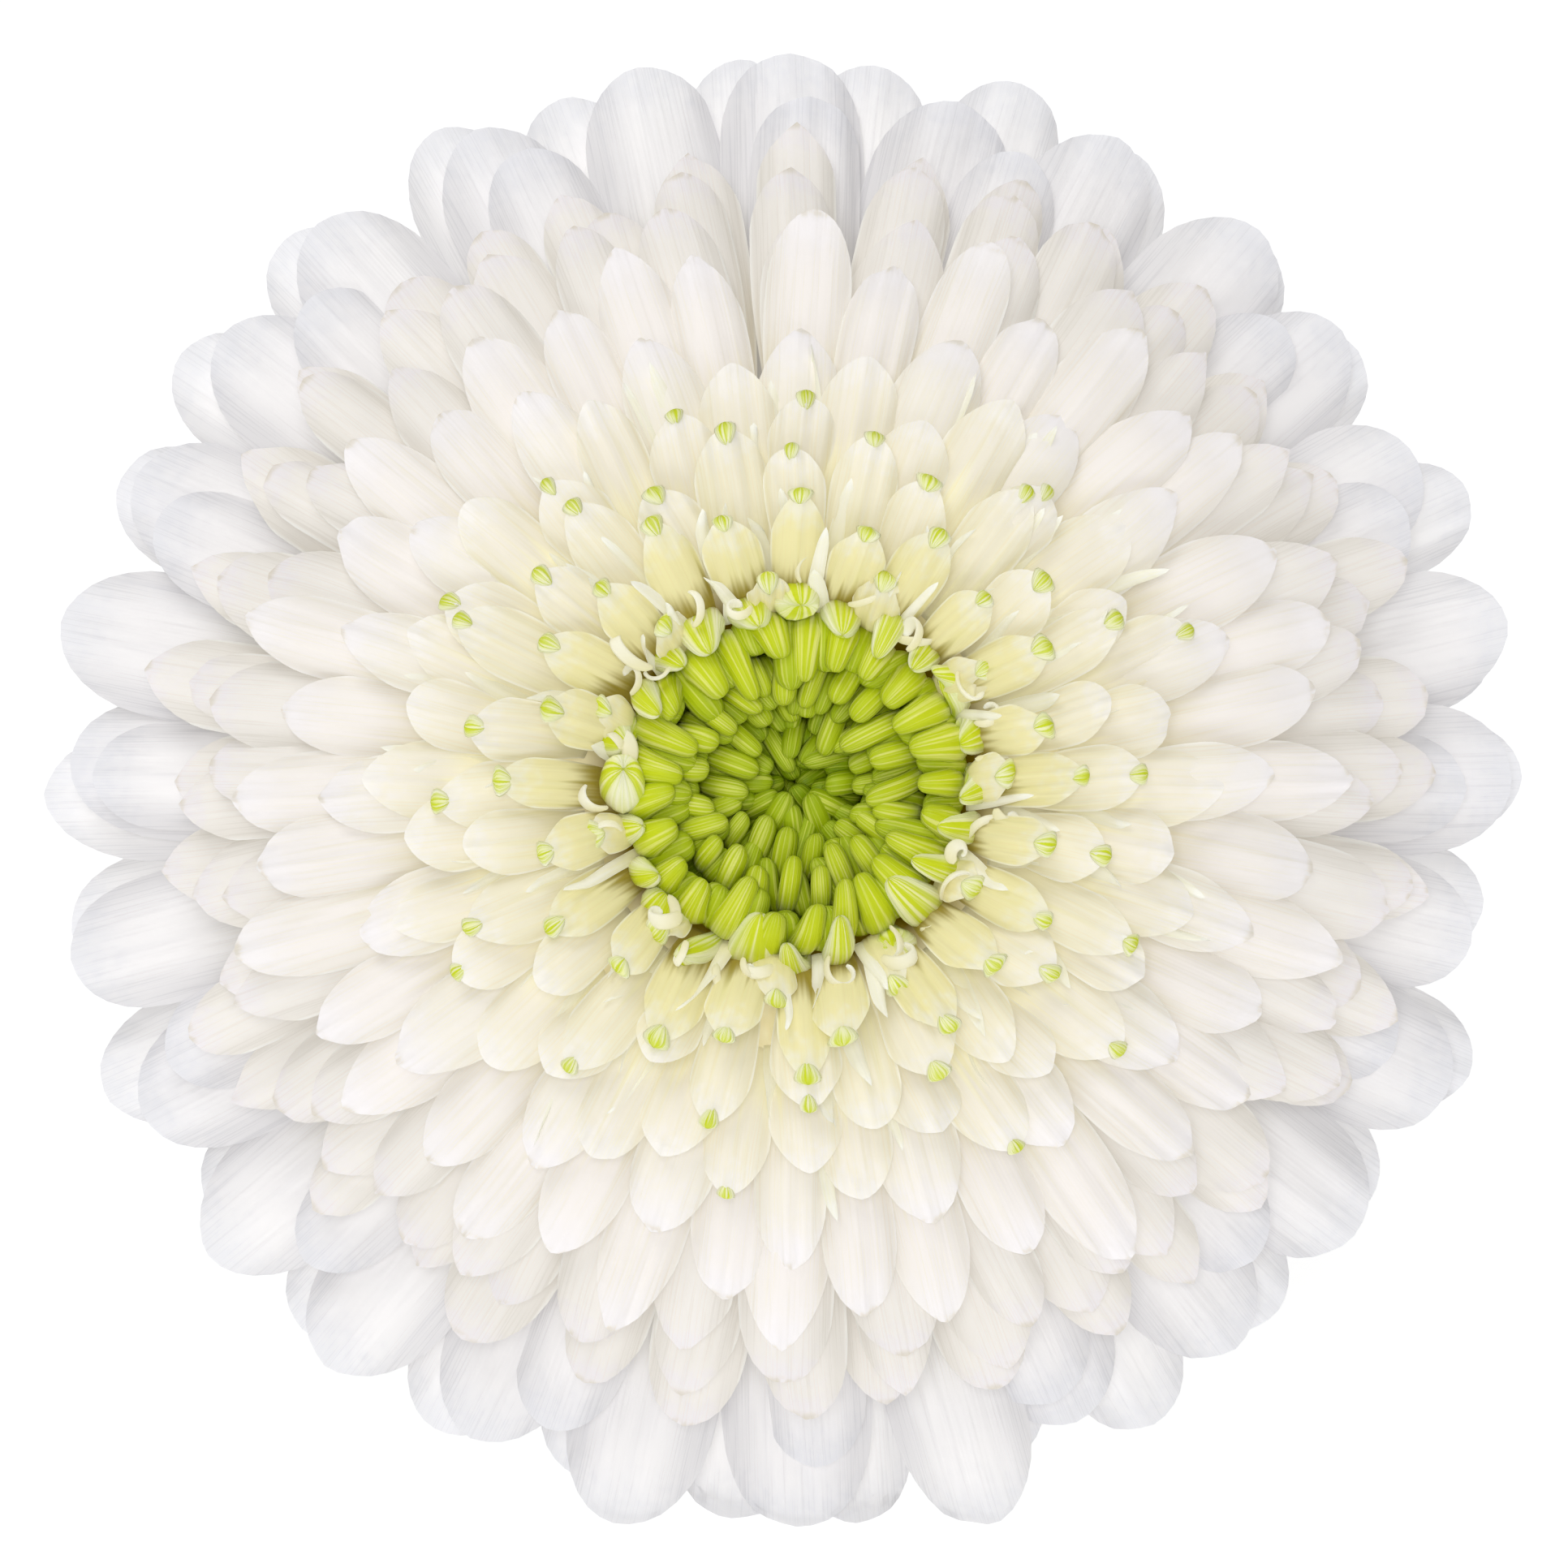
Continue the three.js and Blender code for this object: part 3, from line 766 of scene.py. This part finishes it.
# The youngest foot colour is dark olive, partly the foot's own colour and partly painted shade. The last
# colour is the painted shade of the sides and the colour of the veins.
capped_white = petal_finish(
    "capped_petal", (rgb(251, 248, 245), rgb(246, 243, 222)),
    (rgb(248, 242, 229), rgb(242, 234, 176)), (rgb(240, 235, 210), rgb(140, 122, 4)),
    3.0, (4.2, 7.4), (rgb(236, 230, 184), rgb(222, 220, 132)), 0.35, rgb(214, 208, 156),
    foot_shade_and_density=1.0, gloss=0.1,
)
CAPPED_YOUTH = {5: 0.0, 6: 0.2, 7: 0.95, 8: 1.0}
capped_faces = grow_inner("capped_florets", CAPPED, capped_white, CAPPED_YOUTH)

# %% [markdown]
# ## Round shapes
#
# Buds, curls, the cup and the stem are all closed round shapes along a line. One function makes them
# from rings. Each ring has a middle, two directions and a half width for each, and it can be ribbed.
# Both ends close to a point. It is painted ring by ring, or the same way round each ring.

# %% Shape a round body
RIGHT, AHEAD, UP = np.eye(3)


def add_round(
    bag, middle, side, face, wide, deep, sides, by_ring=None, across=None, at_ends=0.0,
    ribs=0, rib=0.0, lying=False, **values,
):
    """Adds a round body to a bag: a middle, two ways and two half widths for each ring.

    A lying one is made where it lies on the table, and isn't tipped up.
    """
    turn = np.linspace(0, 2 * math.pi, sides, endpoint=False)
    swell = 1 + rib * np.cos(ribs * turn)
    side, face = (np.broadcast_to(way, middle.shape)[:, None] for way in (side, face))
    points = middle[:, None] + side * (wide[:, None] * swell * np.cos(turn))[..., None]
    points = points + face * (deep[:, None] * swell * np.sin(turn))[..., None]
    points = np.concatenate([points.reshape(-1, 3), middle[:1], middle[-1:]])

    rings = len(middle)
    grid = np.arange(rings * sides).reshape(rings, sides)
    after = np.roll(grid, -1, axis=1)
    quads = np.stack([grid[:-1], after[:-1], after[1:], grid[1:]], axis=-1).reshape(-1, 4)
    first = np.stack([after[0], grid[0], np.full(sides, rings * sides)], axis=-1)
    last = np.stack([grid[-1], after[-1], np.full(sides, rings * sides + 1)], axis=-1)
    for name, value in (by_ring or {}).items():
        values[name] = np.append(np.repeat(value, sides), [value[0], value[-1]])
    if across is not None:
        values["across"] = np.append(np.tile(across, rings), [at_ends, at_ends])
    points = points if lying else in_place(points)
    bag.add(points[None], quads, np.concatenate([first, last]), **values)


# %% [markdown]
# ## The bed
#
# Between the petals' feet one looks down on the bed that all florets stand on. Next to the eye it is
# painted dark olive, as the shade in the deep gaps there, and further out cream, and like the petals
# it gives off a little light of its own, a painted glow. It is turned like a bowl on a lathe: a rim
# under the inner petals, and a hollow with the eye in it.

# %% Turn the bed
BED = [
    (12.0, 2.6), (16.0, 2.7), (23.4, 3.6), (23.9, 5.0), (24.0, 7.0), (23.6, 8.6), (22.1, 10.1),
    (20.2, 11.3), (18.3, 12.2), (16.2, 12.8), (14.6, 12.9), (13.3, 12.7), (12.4, 12.2),
    (11.8, 10.6), (10.4, 8.0), (4.0, 7.8),
]
BED_SHADE_WITHIN = [12.5, 13.6, 15]
TURNED_SIDES = 48

bed_finish, start = new_finish("floret_bed")
across, inward, youth = start.painted("across inward youth")
fibres = start.noise(across * 3.0, inward * 0.6, 0.0, 2.0)
# Next to the eye the bed is painted dark olive, as the shade in the deep gaps there.
plain = youth.blend(rgb(242, 234, 200), rgb(122, 100, 0))
colour = (fibres.rise(0.4, 0.7) * 0.5).blend(plain, rgb(196, 182, 92))
# The bed gives off a little of its own colour, a painted glow.
show(start, start.skin(colour, 0.7, 0.1, fibres.relief(0.2), plain, SOAKED_LIGHT))


def add_turned(bag, profile, youth):
    """Adds a body turned about the axis, from a radius, a height and a youth for each ring."""
    radii, heights = np.array(profile, float).T
    rings = np.arange(len(profile))
    add_round(
        bag, heights[:, None] * UP, RIGHT, AHEAD, radii, radii, TURNED_SIDES,
        {"along": rings / len(profile), "inward": rings, "youth": youth},
        np.arange(TURNED_SIDES) / 2.0,
    )


bed = Bag()
add_turned(bed, BED, np.interp(np.array(BED)[:, 0], BED_SHADE_WITHIN, [1.0, 0.5, 0.0]))
bed.to_piece("floret_bed", bed_finish, "inner_petal", "inner_petals")

# %% [markdown]
# ## The lips
#
# A floret has two lips. The outer one is the petal. The inner one is two narrow cream strands,
# which lie on the petal and show in the gaps of the next row in. Each follows its petal's middle
# line, a little above it, to just past that row. The first part of a quadratic curve is itself such
# a curve.

# %% Lay the lips on the petals
LIP_SEED = 503
LIP_ROWS = range(4, 8)
LIP_WIDTH = 1.0
LIP_LIFT = 0.7
LIP_SHARE = 0.7
LIP = Kind(
    stations=16, columns=6, foot=1.0, belly=0.4, taper=0.45, blunt=2.5, square=1.6, arch=0.4,
    lump=0.25, thick=0.2, nod=-0.6, lean=1.6, twist=1.2,
)


def lip_places(number, dice):
    """Places of the strands on the petals of an inner row."""
    row, next_row = INNER_ROWS[number], INNER_ROWS[number + 1]
    petals = place_row(row, INNER_SEED + number)
    share = np.linspace(0, 1, 60)
    places = []
    for angle, crown_out, crown_up, reach, height, _, _ in zip(*petals):
        for strand in (-1, 1):
            shown = dice.random() < LIP_SHARE
            end = next_row.tip[0] + dice.uniform(-0.5, 3.0)
            aside = strand * dice.uniform(0.8, 2.4) / end
            cut = np.interp(end, curve_at(share, row.root[0], crown_out, reach)[0], share)
            up = curve_at(cut, row.root[1], crown_up, height)[0]
            crown = np.array(row.root) + cut * (np.array([crown_out, crown_up]) - row.root)
            if shown and end < reach - 1.5:
                places.append((
                    angle + aside, crown[0] - 0.3, crown[1] + LIP_LIFT, end, up + LIP_LIFT,
                    dice.uniform(0.6, 1.35), 0.0,
                ))
    return Place(*np.array(places).T)


# The last colour is the painted shade of the sides and the colour of the veins.
lip_cream = petal_finish(
    "lip", rgb(253, 253, 247), rgb(251, 249, 234), rgb(244, 238, 200),
    1.5, (2.5, 8.0), rgb(240, 236, 206), 0.3, rgb(208, 204, 170),
)
lips = Bag()
dice = np.random.default_rng(LIP_SEED)
for number in LIP_ROWS:
    row = INNER_ROWS[number]
    root = (row.root[0] - 0.3, row.root[1] + 0.5)
    places = lip_places(number, dice)
    grow_petals(lips, LIP_WIDTH, root, LIP, places, LIP_SEED + number, 0.0)
lips.to_piece("floret_lips", lip_cream, "inner_petal", "inner_petals")

# %% [markdown]
# ## The green of buds and caps
#
# Buds and caps are the same waxy green, striped along. They are pale where they open and dark where
# they are young. The sides of the closed buds and their inner ends get painted shade, so that each
# stands out from the next. The half-open ones have a cream rim.

# %% Mix the bud finish
bud_finish, start = new_finish("bud")
along, across, youth, chance = start.painted("along across youth chance")
aside = abs(across - 0.5)
stripes = start.noise(across * 17 + chance * 30, along * 0.9, chance * 9)
body = youth.blend(rgb(208, 221, 36), rgb(146, 174, 4))
light = youth.blend(rgb(240, 242, 134), rgb(206, 219, 70))
colour = stripes.rise(0.44, 0.7).blend(body, light)
# Painted shade darkens the inner ends of the buds.
tip_shade = along.rise(0.75, 1.0) * 0.25
colour = tip_shade.blend(colour, youth.blend(rgb(150, 176, 18), rgb(100, 128, 4)))
pale = (1 - along.rise(0.1, 0.6)) * (1 - youth.rise(0.1, 0.5))
colour = (pale * stripes.rise(0.3, 0.55) * 0.8).blend(colour, rgb(250, 250, 205))
hooded = 1 - youth.rise(0.0, 0.08)
# Painted shade darkens the sides of the closed buds, but not of the hoods and caps.
side_shade = aside.rise(0.12, 0.5) * (1 - hooded) * 0.38
colour = side_shade.blend(colour, youth.blend(rgb(132, 152, 8), rgb(84, 110, 0)))
rim = (aside.rise(0.16, 0.4) * 0.7 + stripes.rise(0.5, 0.6) * 0.3) * hooded
colour = rim.blend(colour, rgb(250, 250, 216))
show(start, start.skin(colour, 0.42, 0.2, stripes.relief(0.12, 0.8)))

# %% [markdown]
# ## The caps
#
# On the tip of the younger petals sits a cap, a green nub no larger than a pinhead. The last points
# of the petal's upper face say where it sits and which way it points. Next to the eye each petal has
# one, and further out only some.

# %% Set the caps on the younger petals
CAP_SEED = 211
CAP_SHARES = (0.35, 0.75, 1.0, 1.0)
CAP_RINGS = 9
CAP_SIDES = 12
CAP_SHAPE = [(0, 0.3), (0.35, 0.75), (0.65, 1.0), (0.85, 0.95), (1, 0.7)]
CAP_PAINTED_END = 0.55


def swelling(shape, rings, margin, fullness):
    """Places along a body and its share of full width there, from a few pairs of the two."""
    along = (1 - np.cos(np.linspace(margin, math.pi - margin, rings))) / 2
    return along, np.interp(along, *np.array(shape).T) * np.sqrt(1 - (2 * along - 1) ** fullness)


def side_to_side(sides):
    """0 on one side of a ring, 0.5 on its face and its back, and 1 on its other side."""
    return np.abs(np.linspace(0, 1, sides, endpoint=False) - 0.5) * 2


caps = Bag()
dice = np.random.default_rng(CAP_SEED)
along, share = swelling(CAP_SHAPE, CAP_RINGS, 0.1, 6)
middle_column = CAPPED.columns // 2
for share_capped, faces in zip(CAP_SHARES, capped_faces):
    for face in faces:
        if dice.random() > share_capped:
            continue
        tip, before = face[-1, middle_column], face[-6, middle_column]
        forward = unit(tip - before)
        side = unit(face[-4, middle_column + 1] - face[-4, middle_column - 1])
        top = np.cross(forward, side)
        long = dice.uniform(1.1, 1.7)
        half = dice.uniform(0.7, 1.1) * (0.6 + 0.4 * share_capped)
        middle = tip + ((along - 0.72) * long)[:, None] * forward
        middle = middle + (0.02 - 0.3 * along ** 2)[:, None] * top
        add_round(
            caps, middle, side, top, half * share, 0.4 * half * share + 0.08, CAP_SIDES,
            {"along": CAP_PAINTED_END * along}, side_to_side(CAP_SIDES), 0.5, 6, 0.05,
            youth=0.0, chance=dice.random(),
        )
caps.to_piece("petal_caps", bud_finish, "inner_petal")

# %% [markdown]
# ## The eye
#
# The buds in the eye are closed florets, like small striped fingers that lean in over each other.
# The outer ones are large wedges, and towards the middle they get small and dark. The outermost
# ring is just opening: short hoods, broad outside and pointed inside. Under each row of closed buds
# lies a second one, deeper and between their places, so that no floor shows. It is painted darker,
# as the shade between the buds, and so is the floor under them all.

# %% Grow the buds
BUD_SEED = 307
BUD_ROWS = [
    Row(24, 2.9, 1.0, (11.6, 12.6), (13.6, 15.6), (10.9, 16.8)),
    Row(25, 2.4, 1.0, (10.6, 12.0), (11.8, 15.8), (8.1, 16.0)),
    Row(23, 1.8, 0.8, (8.4, 11.2), (9.2, 14.9), (5.6, 14.7)),
    Row(18, 1.7, 0.7, (6.2, 10.4), (6.6, 13.5), (3.4, 13.4)),
    Row(12, 1.65, 0.4, (4.0, 9.8), (4.4, 12.4), (1.6, 12.3)),
    Row(6, 1.5, 0.2, (2.2, 9.4), (2.6, 11.6), (0.6, 11.2)),
]
WEDGE = [(0, 0.9), (0.35, 1.15), (0.55, 1.1), (0.8, 0.84), (1, 0.66)]
FINGER = [(0, 0.85), (0.3, 1.0), (0.8, 1.0), (0.93, 0.92), (1, 0.8)]
HOOD = [(0, 0.5), (0.35, 1.0), (0.5, 1.12), (0.68, 1.02), (0.86, 0.76), (1, 0.5)]
BUD_SIDES = 16
BUD_RINGS = 16
UNEVEN_BUD = 0.5
BUD_DRIFT = 0.7
DEEPER = 1.2


def spoke(angle):
    """Which ways are outwards and sideways at an angle round the axis."""
    cos, sin = math.cos(angle), math.sin(angle)
    return np.array([cos, sin, 0.0]), np.array([-sin, cos, 0.0])


def grow_buds(bag, row, seed, youth, shape, depth=0.0, unruly=1.0, painted_end=1.0):
    """Adds a row of buds. A depth puts them lower, between the row's own places."""
    places = place_row(row, seed)
    dice = np.random.default_rng(seed + int(depth * 10))
    shift = math.pi / row.count if depth else 0.0
    uneven = UNEVEN_BUD * unruly
    along, share = swelling(shape, BUD_RINGS, 0.06, 14)
    root, crown = np.array(row.root), np.array([row.crown[0], row.crown[1] - depth])
    for angle, _, _, reach, height, width, _ in zip(*places):
        angle += shift
        tip = np.array([reach, height - depth]) + dice.normal(0, uneven, 2) * [1.0, 0.5]
        top = crown + dice.normal(0, uneven, 2) * [0.5, 0.7]
        line, slope = curve_at(along[:, None], root, top, tip)
        slope = unit(slope)
        outwards, side = spoke(angle)
        lean = BUD_DRIFT * math.sin(3 * angle + row.count) + dice.normal(0, 1.4 * uneven)
        middle = line[:, :1] * outwards + line[:, 1:] * UP
        middle = middle + side * (lean * (along - 0.5))[:, None]
        face = slope[:, :1] * UP - slope[:, 1:] * outwards
        half = row.width / 2 * width * (1 + unruly * dice.uniform(-0.18, 0.12)) * share
        add_round(
            bag, middle, side, face, half, half * 0.85, BUD_SIDES,
            {"along": painted_end * along}, side_to_side(BUD_SIDES), 0.5, 5, 0.03,
            youth=youth, chance=dice.random(),
        )


# %% Fill the eye
EYE_FLOOR = [
    (10.0, 8.1), (11.3, 11.0), (10.9, 11.9), (9.8, 11.6), (8.3, 10.9), (6.7, 10.3), (5.0, 9.8),
    (3.3, 9.4), (1.0, 9.2),
]
EYE_FLOOR_SHADE = 1.2
buds = Bag()
# The floor under the buds is painted in the darkest bud colours, as shade.
add_turned(buds, EYE_FLOOR, np.full(len(EYE_FLOOR), EYE_FLOOR_SHADE))
for number, row in enumerate(BUD_ROWS[1:], 1):
    youth = 0.1 + 0.9 * ((number - 1) / (len(BUD_ROWS) - 2)) ** 1.4
    shape = WEDGE if number == 1 else FINGER
    grow_buds(buds, row, BUD_SEED + number, youth, shape)
    # The deeper row is painted as younger, darker buds, as the shade between the buds above it.
    grow_buds(buds, row, BUD_SEED + number, youth + 0.35, FINGER, DEEPER)
buds.to_piece("green_buds", bud_finish, "eye_bud", "eye_buds")

opening = Bag()
grow_buds(opening, BUD_ROWS[0], BUD_SEED, 0.0, HOOD, unruly=1.8, painted_end=0.7)
opening.to_piece("opening_florets", bud_finish, "eye_bud", "eye_buds")

# %% [markdown]
# ## The ringlets round the eye
#
# Where the florets have just opened, their narrow lobes roll back into small white curls. A curl is a
# flat strap. Its line starts upright and bends more and more, in a plane that is tilted at random,
# and the strap twists a little on the way.

# %% Roll the ringlets
RINGLET_SEED = 607
RINGLETS = 38
RINGLET_RINGS = 22
RINGLET_SIDES = 8
RINGLET_FOOT = 9.0

ringlets = Bag()
dice = np.random.default_rng(RINGLET_SEED)
stretch = np.linspace(0, 1, RINGLET_RINGS)
for turn in range(RINGLETS):
    outwards, sideways = spoke(2 * math.pi * (turn + dice.uniform(-0.4, 0.4)) / RINGLETS)
    heading = dice.uniform(-1.5, 1.5)
    forward = math.cos(heading) * outwards + math.sin(heading) * sideways
    tilt = dice.uniform(-1.1, 1.1)
    up = math.cos(tilt) * UP + math.sin(tilt) * np.cross(UP, forward)
    bend = dice.uniform(0.9, 1.5) - dice.uniform(2.4, 5.6) * stretch ** 1.5
    step = dice.uniform(3.0, 5.6) / RINGLET_RINGS
    line = np.cos(bend)[:, None] * forward + np.sin(bend)[:, None] * up
    start_at = outwards * dice.uniform(11.6, 13.8) + dice.uniform(15.6, 17.2) * UP
    middle = start_at + np.cumsum(line, axis=0) * step
    normal = np.cross(forward, up)
    twist = (dice.uniform(-0.9, 0.9) + dice.uniform(-0.8, 0.8) * stretch)[:, None]
    side = np.cos(twist) * normal + np.sin(twist) * np.cross(normal, line)
    wide = dice.uniform(0.28, 0.6) * np.sqrt(np.clip(1 - (2 * stretch - 1) ** 6, 0.02, 1))
    add_round(
        ringlets, middle, side, np.cross(line, side), wide, 0.1 + 0.12 * wide, RINGLET_SIDES,
        {"inward": RINGLET_FOOT * (1 - stretch)}, chance=dice.random(),
    )
ringlets.to_piece("ringlets", lip_cream, "inner_petal")

# %% [markdown]
# ## The cup
#
# The head is held by a cup of small green leaves, the bracts. They lie over each other in three rows
# like the scales of a cone, pointed, hairy and pressed to the head. The petal function makes them
# too, with a long point and a section that arches away from the eye.

# %% Mix the green finishes
CUT_FLESH = rgb(226, 230, 190)


def green_finish(name, light, dark, stripe, scale):
    """A matt green skin with lengthwise stripes. across counts round or across the piece."""
    material, start = new_finish(name)
    along, across, inward, youth, chance = start.painted("along across inward youth chance")
    stripes = start.noise(across * scale + chance * 40, along * 2.0, chance * 11, 2.0)
    patches = start.noise(across * 2, inward * 0.35, chance * 7, 2.0)
    colour = patches.rise(0.3, 0.7).blend(light, dark)
    colour = youth.blend((stripes.rise(0.45, 0.7) * 0.5).blend(colour, stripe), CUT_FLESH)
    show(start, start.skin(colour, 0.6, 0.3, (stripes + patches * 0.4).relief(0.15)))
    return material


cup_green = green_finish("bract", rgb(122, 150, 74), rgb(92, 122, 54), rgb(158, 176, 108), 3.5)

# %% Grow the cup
BRACT_SEED = 401
BRACT_ROWS = [
    Row(16, 3.9, 0.0, (7.2, -14.8), (12.2, -13.0), (14.2, -8.8)),
    Row(20, 3.8, 0.0, (10.6, -11.2), (13.6, -8.8), (14.8, -5.0)),
    Row(22, 3.7, 0.0, (12.5, -7.2), (13.9, -5.2), (15.0, -2.6)),
]
BRACT = Kind(
    stations=16, columns=10, foot=0.85, belly=0.4, taper=0.3, blunt=1.9, square=1.4, arch=-0.3,
    pleat=0.03, lump=0.08, thick=0.4, nod=0.1, roll=0.06, lean=0.3, twist=0.06,
)
CUP = [
    (4.6, -16.6), (5.6, -16.1), (7.2, -14.8), (9.0, -13.2), (10.6, -11.2), (11.8, -9.0),
    (12.5, -6.6), (12.8, -4.2), (12.6, -2.4), (12.0, -1.7),
]
cup = Bag()
add_turned(cup, CUP, np.zeros(len(CUP)))
for number, row in enumerate(BRACT_ROWS):
    grow_row(cup, BRACT, row, BRACT_SEED + number)
cup_piece = cup.to_piece("bracts", cup_green, "bract", "bract_cup")

# %% [markdown]
# ## The stem
#
# The stalk is bare and finely ribbed, and thicker at the neck. It leaves the cup along the axis,
# bends down to the table and lies along it with a slight bow sideways. Its line is worked out from
# the solid's own sizes. The cut end shows pale flesh round a hollow pith.

# %% Follow the stem's line
STEM_RADIUS = 3.12
STEM_AXIS_HEIGHT = 3.3 * math.cos(math.pi / 12)
NECK_SWELL = 0.95
NECK_LENGTH = 24
STEM_UPPER = 14
STEM_LYING = 52
STEM_SIDE_BOW = 11
SEAM = 0.3

stem_top = FLOWER_MIDDLE + (CUP_BOTTOM - SEAM) * AXIS
bend_radius = (stem_top[2] - STEM_UPPER * math.sin(FACE_LIFT) - STEM_AXIS_HEIGHT) / (
    1 - math.cos(FACE_LIFT)
)
bend_length = bend_radius * FACE_LIFT
stem_length = STEM_UPPER + bend_length + STEM_LYING


def stem_line(run):
    """Points of the stem's middle line, for lengths from the cup down."""
    straight = np.minimum(run, STEM_UPPER)
    bent = np.clip(run - STEM_UPPER, 0, bend_length) / bend_radius
    lying = np.maximum(0, run - STEM_UPPER - bend_length)
    back = bend_radius * (math.sin(FACE_LIFT) - np.sin(FACE_LIFT - bent))
    down = bend_radius * (np.cos(FACE_LIFT - bent) - math.cos(FACE_LIFT))
    return np.stack([
        stem_top[0] + STEM_SIDE_BOW * (run / stem_length) ** 2,
        stem_top[1] + straight * math.cos(FACE_LIFT) + back + lying,
        stem_top[2] - straight * math.sin(FACE_LIFT) - down,
    ], axis=-1)


print("the stem is", round(stem_length, 1), "mm long")

# %% Shape the stem
STEM_RINGS = 150
STEM_SIDES = 44
RIBS = 11
CUT_END = [(0.0, 1.0), (0.0, 0.97), (0.0, 0.8), (-0.25, 0.55), (-0.6, 0.3), (-0.7, 0.05)]
CUT_BEVEL = 0.12

run = np.linspace(0, stem_length, STEM_RINGS)
girth = STEM_RADIUS + NECK_SWELL * np.clip(1 - run / NECK_LENGTH, 0, 1) ** 2
girth = girth + 0.03 * np.sin(run * 0.21) + 0.02 * np.sin(run * 0.53)
depth, cut_share = np.array(CUT_END).T
run = np.append(run, stem_length + depth)
girth = np.append(girth, (STEM_RADIUS - CUT_BEVEL) * cut_share)
slope = unit(stem_line(run + 0.1) - stem_line(run - 0.1))
side = unit(np.cross(UP, slope))
is_cut = np.append(np.zeros(STEM_RINGS + 1), np.ones(len(CUT_END) - 1))
stalk = Bag()
add_round(
    stalk, stem_line(run), side, np.cross(slope, side), girth, girth, STEM_SIDES,
    {"along": run / 40, "inward": run / 4, "youth": is_cut}, np.arange(STEM_SIDES) / 2.0,
    ribs=RIBS, rib=0.012, lying=True,
)
stalk_green = green_finish("stalk", rgb(150, 172, 92), rgb(126, 152, 72), rgb(174, 190, 120), 1.6)
stalk_piece = stalk.to_piece("stalk", stalk_green, "stem", "stem")

# %% [markdown]
# ## Hairs
#
# Short pale hairs soften the outline of the cup and the stalk. Each is a three-sided spike on a
# corner of the finished mesh that leans towards the flower's face. Hair curves would be lost in the
# export, so these are plain meshes.

# %% Plant the hairs
HAIR_SEED = 701
HAIR_SIDES = 3
HAIR_ROOT = 0.05
HAIR_GIRTH = np.array([0.035, 0.008])
HAIR_CLEARANCE = 0.12
ANY_WAY = [0.3, 0.5, 0.81]


def plant_hairs(name, piece, slot, count, longest, lean):
    """Spikes on count corners of a piece, all leaning along lean."""
    dice = np.random.default_rng(HAIR_SEED)
    vertices = piece.data.vertices
    chosen = dice.choice(len(vertices), count, replace=False).tolist()
    spots = np.array([vertices[k].co for k in chosen]) / MM
    normals = np.array([vertices[k].normal for k in chosen])
    growth = unit(normals + lean + dice.normal(0, 0.25, (count, 3)))
    tips = spots + growth * dice.uniform(0.4, 1.0, (count, 1)) * longest
    clear = np.minimum(spots[:, 2], tips[:, 2]) > HAIR_CLEARANCE
    hairs = Bag()
    for spot, tip, along in zip(spots[clear], tips[clear], growth[clear]):
        side = unit(np.cross(along, ANY_WAY))
        middle = np.stack([spot - HAIR_ROOT * along, tip])
        face = np.cross(along, side)
        add_round(hairs, middle, side, face, HAIR_GIRTH, HAIR_GIRTH, HAIR_SIDES, lying=True, inward=2.0)
    return hairs.to_piece(name, hair_finish, slot)


hair_finish, start = new_finish("hair")
sheen = start.noise(*start.painted("inward"), 0.0, 0.0)
show(start, start.skin(sheen.blend(rgb(214, 220, 188), rgb(228, 230, 206)), 0.45))
plant_hairs("cup_hairs", cup_piece, "bract", 1500, 1.5, 0.8 * AXIS)
plant_hairs("stalk_hairs", stalk_piece, "stem", 2200, 0.9, 0.3 * AXIS)
